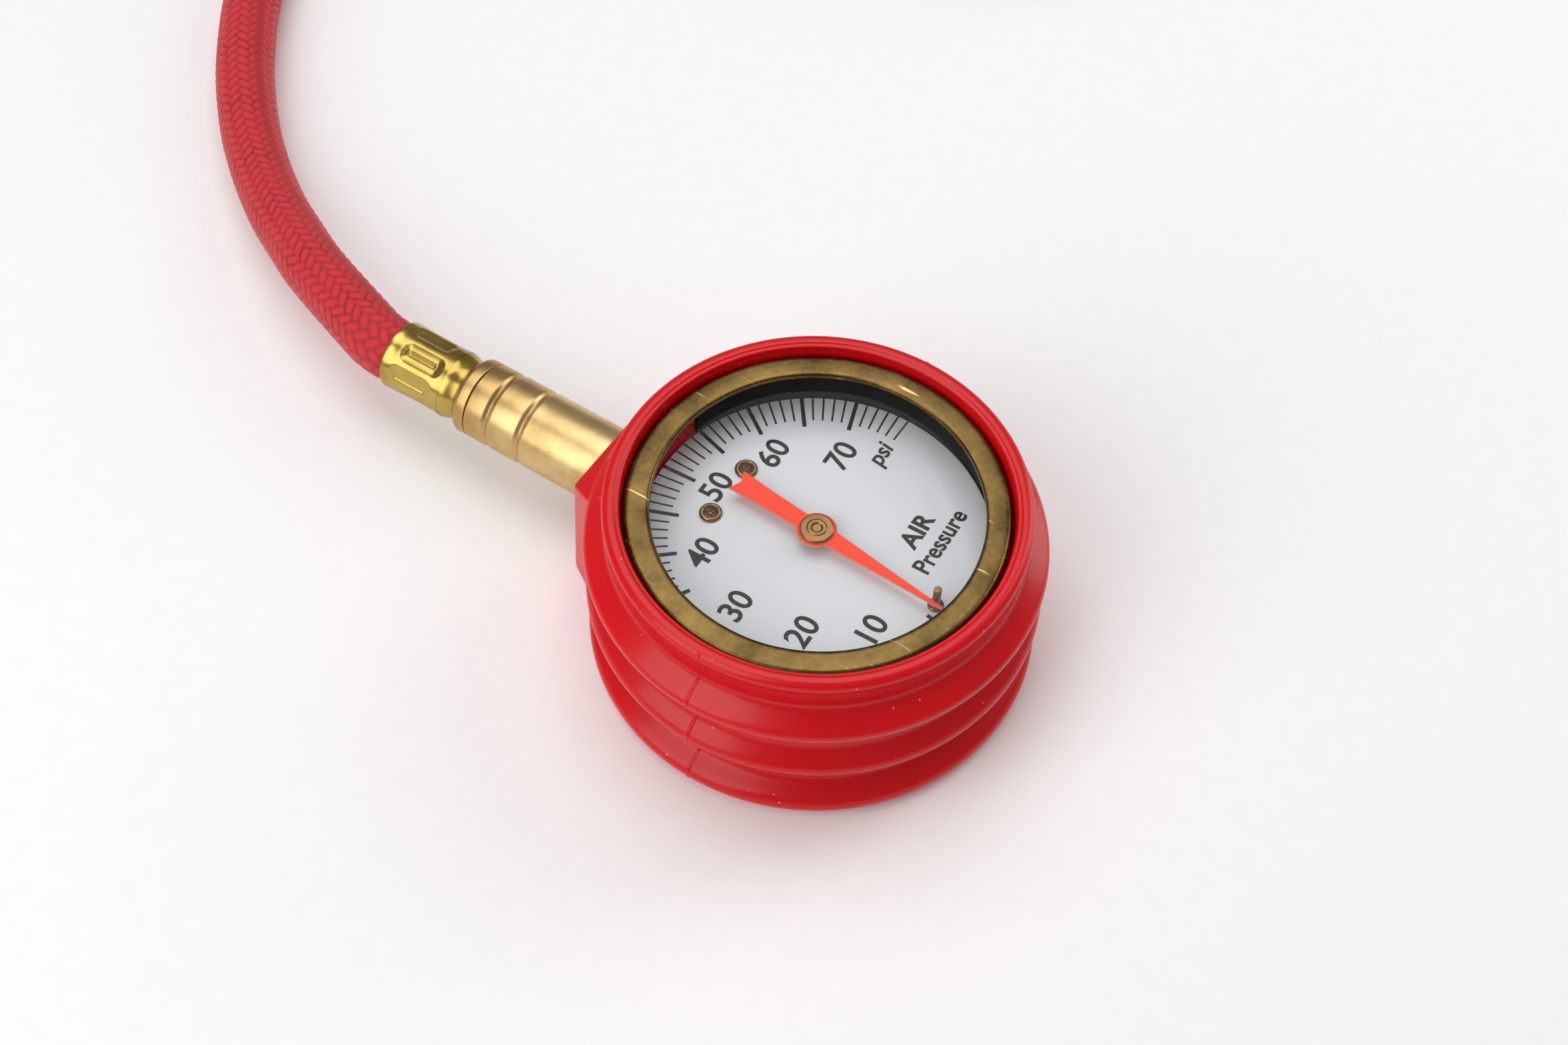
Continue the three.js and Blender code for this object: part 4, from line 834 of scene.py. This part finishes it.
def ticks():
    """Thin radial bars, one for each psi from 5: a corner list of eight points for each, as arrays."""
    psi = np.arange(5, TICK_LAST + 1)
    major = psi % 5 == 0
    angle = np.radians(TICK_50 - TICK_STEP * (psi - 50))
    inner = np.where(major & (psi < TICK_LAST), MAJOR_INNER_R, MINOR_INNER_R)
    half = np.where(major & (psi < TICK_LAST), 0.28, 0.13)
    outer = np.full(len(psi), DIAL_R - 0.1)
    radial = np.column_stack([np.cos(angle), np.sin(angle)])
    sideways = np.column_stack([-np.sin(angle), np.cos(angle)])
    flat = np.stack([radial * (inner if k in (0, 3) else outer)[:, None]
                     + sideways * (half if k < 2 else -half)[:, None] for k in range(4)], axis=1)
    low = np.concatenate([flat, np.full(flat.shape[:2] + (1,), DIAL_Z + 0.004)], axis=2)
    high = low + (0, 0, INK)
    points = np.concatenate([low, high], axis=1)
    box = np.array([[3, 2, 1, 0], [4, 5, 6, 7], [0, 1, 5, 4], [1, 2, 6, 5], [2, 3, 7, 6], [3, 0, 4, 7]])
    faces = box[None] + 8 * np.arange(len(psi))[:, None, None]
    return mesh_piece("scale_marks", points.reshape(-1, 3), faces.reshape(-1, 4))


def lettering(name, words, at, height, squeeze=1.0, heavy=0.0, slant=0.0):
    """Flat raised lettering, centred on a point of the dial. height is that of a capital."""
    data = bpy.data.curves.new(name, "FONT")
    data.body = words
    data.align_x = "CENTER"
    data.align_y = "CENTER"
    data.extrude = 0.5
    data.offset = heavy
    data.shear = slant
    data.resolution_u = 6
    text = bpy.data.objects.new(name, data)
    bpy.context.scene.collection.objects.link(text)
    mesh = bpy.data.meshes.new_from_object(text.evaluated_get(bpy.context.evaluated_depsgraph_get()))
    bpy.data.objects.remove(text)
    points = np.empty(len(mesh.vertices) * 3, np.float32)
    mesh.vertices.foreach_get("co", points)
    points = points.reshape(-1, 3)
    low, high = points.min(0), points.max(0)
    scale = height / (high[1] - low[1])
    flat = (points[:, :2] - (low[:2] + high[:2]) / 2) * (scale * squeeze, scale)
    tilt = math.radians(PRINT_TILT)
    turn = np.array([[math.cos(tilt), math.sin(tilt)], [-math.sin(tilt), math.cos(tilt)]])
    flat = flat @ turn + at
    z = DIAL_Z + 0.004 + INK * (points[:, 2] - low[2]) / (high[2] - low[2])
    mesh.vertices.foreach_set("co", (np.column_stack([flat, z]) * MM).astype(np.float32).ravel())
    mesh.update()
    piece = bpy.data.objects.new(name, mesh)
    bpy.context.scene.collection.objects.link(piece)
    return piece


def make_print():
    printed = [ticks()]
    for psi, at in NUMBERS.items():
        printed.append(lettering(f"number_{psi}", str(psi), at, NUMBER_HEIGHT, 1.0, 0.016))
    printed.append(lettering("unit", "psi", (16.9, -0.3), 3.2, 0.98, 0.02, 0.15))
    printed.append(lettering("word_air", "AIR", (8.5, -10.7), 2.7, 1.05, 0.03))
    printed.append(lettering("word_pressure", "Pressure", (8.8, -14.2), 2.6, 0.93, 0.022))
    for piece in printed:
        piece.data.materials.clear()
        piece.data.materials.append(ink)
        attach(piece, "gauge")


def make_rivets():
    """Hollow rivets set over with a punch: a rolled head round a funnel whose wall has three folds."""
    for number in (1, 2):
        node = f"dial_rivet_{number}"
        low, high = span(node)
        bottom, top = low[2], high[2]
        x, y = upright_at(node)
        outline = rounded([
            (0, bottom, 0), (0.8, bottom, 0.1), (0.8, DIAL_Z, 0.05), (1.6, DIAL_Z + 0.03, 0.1),
            (1.6, top - 0.25, 0.2),
            (1.34, top, 0.22), (1.05, top, 0.16), (0.74, DIAL_Z + 0.05, 0.25), (0.58, DIAL_Z - 0.4, 0.15),
            (0.3, DIAL_Z - 0.3, 0.1), (0.2, DIAL_Z + 0.1, 0.1), (0, DIAL_Z + 0.05, 0)], 6)
        folds = lambda r, h, t: r * (1 + np.where((r < 0.7) & (h > DIAL_Z - 0.4), 0.3 * np.cos(3 * t), 0))
        rivet = turned(f"eyelet_{number}", outline, (x, y, 0), sides=64, reshape=folds)
        finished(rivet, "gauge", hub_brass, "hub_brass", node)


def make_stop_pin():
    x, y = upright_at("stop_pin")
    top = pin_high[2]
    outline = rounded([
        (0, pin_low[2], 0), (0.55, pin_low[2], 0.1), (0.55, DIAL_Z, 0.05), (1.14, DIAL_Z + 0.02, 0.15),
        (1.08, DIAL_Z + 0.38, 0.25), (0.57, DIAL_Z + 0.52, 0.2), (0.55, top, 0.12), (0, top, 0)], 6)
    finished(turned("stop_post", outline, (x, y, 0), sides=48), "gauge", hub_brass, "hub_brass", "stop_pin")


# ---- pointer ----
POINTER_AT = 265.7
POINTER_TIP = DIAL_R - 3.6
POINTER_TAIL = 13.6
POINTER_BOSS_R = 2.75
POINTER_BORE_R = 1.2


def make_pointer():
    """A stamped blade round a boss: tapered to the tip, with a forked tail."""
    low, high = pointer_low[2], pointer_high[2]
    arc_out = np.radians(np.linspace(28, 152, 24))
    upper = POINTER_BOSS_R * np.column_stack([np.cos(arc_out), np.sin(arc_out)])
    half = np.vstack([[(POINTER_TIP, 0.2), (11.0, 0.72)], upper, [(-8.0, 1.42), (-POINTER_TAIL, 1.75)]])
    outline = np.vstack([half,
                         [(-POINTER_TAIL + 0.55, 0.45), (-POINTER_TAIL + 0.75, 0),
                          (-POINTER_TAIL + 0.55, -0.45)],
                         half[::-1] * (1, -1)])
    hole = outline / np.linalg.norm(outline, axis=1, keepdims=True) * POINTER_BORE_R
    rings = [(hole, low), (outline * 0.998, low), (outline, low + 0.02), (outline, high - 0.03),
             (outline * 0.998, high), (hole, high)]
    grid = np.stack([np.column_stack([ring, np.full(len(ring), z)]) for ring, z in rings])
    turn = math.radians(POINTER_AT)
    spin = np.array([[math.cos(turn), math.sin(turn), 0], [-math.sin(turn), math.cos(turn), 0], [0, 0, 1]])
    blade = closed_surface("pointer_blade", grid @ spin)
    sheared = blade.data.attributes.new("sheared", "FLOAT", "POINT")
    sheared.data.foreach_set("value", np.repeat([0, 0, 1, 1, 0, 0], len(outline)).astype(np.float32))
    finished(blade, "pointer", orange, "pointer_paint", "pointer")


def make_hub():
    """A turned collar under the blade and a disc over it, with a raised centre ring round the bore."""
    low, under, over, top = hub_low[2], pointer_low[2] - FIT, pointer_high[2] + FIT, hub_high[2]
    outline = rounded([
        (0.65, low, 0.05), (1.75, low, 0.15), (1.75, under, 0.1), (1.1, under, 0.05), (1.1, over, 0.05),
        (2.3, over, 0.1), (2.35, over + 0.1, 0.05), (2.27, over + 0.2, 0.05), (2.35, over + 0.3, 0.05),
        (2.35, top - 0.24, 0.12), (2.2, top - 0.13, 0.1), (1.38, top - 0.13, 0.08), (1.24, top, 0.09),
        (0.82, top, 0.1), (0.62, top - 0.25, 0.1), (0.62, low + 0.3, 0.05)], 6)
    finished(turned("hub_disc", outline, sides=96), "pointer", hub_brass, "hub_brass", "pointer_hub")


# ---- chuck ----
KNURLS = 36
KNURL_DEPTH = 0.16
BARREL_R = 6.4
MOUTH_R = 4.15  # takes a tyre valve's mouth
SOCKET_R = 5.15
SOCKET_DEPTH = 8
POST_R = 0.9


def make_chuck():
    """A right-angle head on a barrel that turns on the hose's fitting, with a knurled mouth ring, a
    seal washer behind it and the depressor pin in the middle."""
    elbow_y = (cap_low[1] + cap_high[1]) / 2
    mouth_x = cap_low[0]
    barrel_top = chuck_high[1]
    hose_line = ((CHUCK_X, barrel_top, CHUCK_Z), (0, -1, 0))
    mouth_line = ((CHUCK_X, elbow_y, CHUCK_Z), (-1, 0, 0))
    reach = CHUCK_X - mouth_x
    elbow = barrel_top - elbow_y
    body_end = CHUCK_X - chuck_low[0]
    head_r = (chuck_high[2] - chuck_low[2]) / 2
    head = turned("chuck_head", rounded([
        (0, -head_r + 0.8, 0), (head_r, -head_r + 0.8, 1.8), (head_r, 5.0, 0.3), (head_r - 0.35, 5.3, 0.3),
        (head_r - 0.35, body_end - 0.5, 0.3), (head_r - 0.35, body_end, 0.3), (0, body_end, 0)]),
        *mouth_line, 96)
    barrel = turned("barrel", rounded([
        (0, 0, 0), (BARREL_R, 0, 0.6), (BARREL_R, 3.0, 0.3), (6.0, 3.4, 0.3), (6.0, 4.4, 0.3),
        (BARREL_R, 4.8, 0.3),
        (BARREL_R, elbow, 0),
        (0, elbow, 0)]), *hose_line, 96)
    cut(head, barrel, "UNION")
    socket_floor = body_end - SOCKET_DEPTH
    cut(head, turned("socket",
                     [(0, socket_floor), (SOCKET_R, socket_floor), (SOCKET_R, body_end + 1),
                      (0, body_end + 1)],
                     *mouth_line, 64))
    cut(head, turned("neck", [(0, -1), (3.1, -1), (3.1, 3.6), (4.5, 3.6), (4.5, 5.6), (0, 5.6)], *hose_line,
                     64))
    finished(head, "chuck", stem_brass, "chuck_brass", "chuck_body")
    cap_r = cap_high[2] - CHUCK_Z
    back = CHUCK_X - cap_high[0]
    knurl = lambda r, h, t: r - np.where(r > cap_r - 0.3, KNURL_DEPTH * (1 - np.abs(np.cos(KNURLS * t / 2))),
                                         0)
    cap = turned("chuck_mouth_ring", rounded([
        (MOUTH_R, back, 0.1), (cap_r - 0.35, back, 0.1), (cap_r, back + 0.35, 0.1),
        (cap_r, reach - 0.7, 0.15),
        (cap_r - 0.6, reach, 0.35), (4.6, reach, 0.25), (MOUTH_R, reach - 0.5, 0.2)]), *mouth_line, 288,
        knurl)
    finished(cap, "chuck", stem_brass, "chuck_brass", "chuck_cap")
    seal_low, seal_high = span("chuck_seal")
    near, far = CHUCK_X - seal_high[0], CHUCK_X - seal_low[0]
    washer = turned("chuck_washer",
                    rounded([(3.05, near, 0.3), (4.85, near, 0.3), (4.85, far, 0.3), (3.05, far, 0.3)]),
                    *mouth_line, 64)
    finished(washer, "chuck", nitrile, "black_rubber", "chuck_seal")
    post_low, post_high = span("valve_depressor")
    first, last = CHUCK_X - post_high[0], CHUCK_X - post_low[0]
    post = turned("depressor_pin", rounded([
        (0, first, 0), (POST_R, first, 0.1), (POST_R, first + 3, 0.1), (2.7, first + 3, 0.2),
        (2.7, first + 3.8, 0.2),
        (POST_R, first + 4.2, 0.3), (POST_R, last, 0.3), (0, last, 0)]), *mouth_line, 48)
    finished(post, "chuck", stem_brass, "chuck_brass", "valve_depressor")
    start = swivel_high[1]
    collar_from = start - (far_ferrule_low[1] - 0.3)
    fitting = turned("chuck_collar", rounded([
        (0, collar_from - 3, 0), (2.6, collar_from - 3, 0.1), (2.6, collar_from, 0.1),
        (STEM_R - 0.75, collar_from, 0.2),
        (STEM_R, collar_from + 0.8, 0.25), (STEM_R, collar_from + 2.1, 0.15), (3.0, collar_from + 2.1, 0.05),
        (3.0, start - swivel_low[1] - 1.4, 0.05), (4.2, start - swivel_low[1] - 1.4, 0.1),
        (4.2, start - swivel_low[1], 0.1), (0, start - swivel_low[1], 0)]), (CHUCK_X, start, CHUCK_Z),
        (0, -1, 0), 96)
    finished(fitting, "gauge", stem_brass, "stem_brass", "swivel_fitting")


# ---- Bourdon tube ----
TUBE_MIDDLE_R = 17.5
TUBE_THICK = 1.6
TUBE_SPAN = (75, -184)  # degrees
TUBE_POWER = 3  # how square its section is


def make_bourdon_tube():
    """A flattened tube along an arc, from the socket block round to its free end. Its section is a long
    loop with round sides, |x|^n + |y|^n = 1, and it bends between block and end piece."""
    low, high = span("bourdon_tube")
    wide = high[2] - low[2]
    bend = np.radians(np.linspace(*TUBE_SPAN, 160))[:, None]
    t = np.linspace(0, 2 * np.pi, 32, endpoint=False)[None, :]
    power = 2 / TUBE_POWER
    out = TUBE_MIDDLE_R + TUBE_THICK / 2 * np.sign(np.cos(t)) * np.abs(np.cos(t)) ** power
    up = STEM_Z + wide / 2 * np.sign(np.sin(t)) * np.abs(np.sin(t)) ** power
    grid = np.stack([out * np.cos(bend), out * np.sin(bend), up + 0 * bend], axis=-1)
    piece = closed_surface("bourdon_strip", grid, grid[[0, -1]].mean(1))
    piece.data.materials.append(spring_bronze)
    piece.data.shade_smooth()
    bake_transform(piece)
    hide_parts("bourdon_tube")


# ---- what stays as the CAD made it gets its material ----
CARRIED = {
    "movement_brass": (movement_brass,
                       ["pressure_block", "tube_tip", "movement_back_plate", "movement_front_plate",
                                        "pillar_1", "pillar_2", "sector_gear", "hairspring_collet",
                                        "dial_post_1",
                                        "dial_post_2"]),
    "steel": (plated_steel, ["plate_screw_1", "plate_screw_2", "plate_screw_3", "plate_screw_4",
                             "sector_staff", "connecting_link"]),
    "arbor": (hub_brass, ["pinion_arbor"]),
    "bronze": (spring_bronze, ["hairspring"]),
    "stem": (stem_brass, ["stem_restrictor"]),
    "rubber": (nitrile, ["stem_o_ring"]),
}


def finish_carried_nodes():
    for material, names in CARRIED.values():
        for name in names:
            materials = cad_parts[name].data.materials
            materials.clear()
            materials.append(material)


# ---- floor and lights ----
def make_floor():
    half = 3000
    floor = mesh_piece("floor",
                       [(-half, -half, -0.02), (half, -half, -0.02), (half, half, -0.02),
                        (-half, half, -0.02)],
                       [[0, 1, 2, 3]])
    material, tree, shader, place = new_surface("white_paper_sweep", Roughness=0.8)
    mottled(tree, shader, place, "#F6F6F6", "#FAFAFA", 3.333)
    floor.data.materials.append(material)


def softbox(name, at, size, power, aim=(0, 10, 10)):
    data = bpy.data.lights.new(name, "AREA")
    data.shape = "RECTANGLE"
    data.size, data.size_y = size[0] * MM, size[1] * MM
    data.energy = power
    light = bpy.data.objects.new(name, data)
    bpy.context.scene.collection.objects.link(light)
    light.location = Vector(at) * MM
    light.rotation_euler = (Vector(aim) - Vector(at)).to_track_quat("-Z", "Y").to_euler()


def make_lights():
    world = bpy.data.worlds.new("studio")
    bpy.context.scene.world = world
    world.use_nodes = True
    world.node_tree.nodes["Background"].inputs["Color"].default_value = (1, 1, 1, 1)
    world.node_tree.nodes["Background"].inputs["Strength"].default_value = 0.26
    softbox("left_box", (-520, 200, 420), (500, 700), 2.8)
    softbox("top_box", (160, 210, 800), (700, 640), 3.1)
    softbox("right_box", (500, -250, 300), (250, 600), 1.2)
    bpy.context.scene.view_settings.view_transform = "Standard"


make_guard()
make_case()
make_bezel()
make_lens()
make_dial()
make_print()
make_rivets()
make_stop_pin()
make_pointer()
make_hub()
make_stem()
make_sleeves()
make_chuck()
make_hose()
make_bourdon_tube()
finish_carried_nodes()
make_floor()
make_lights()
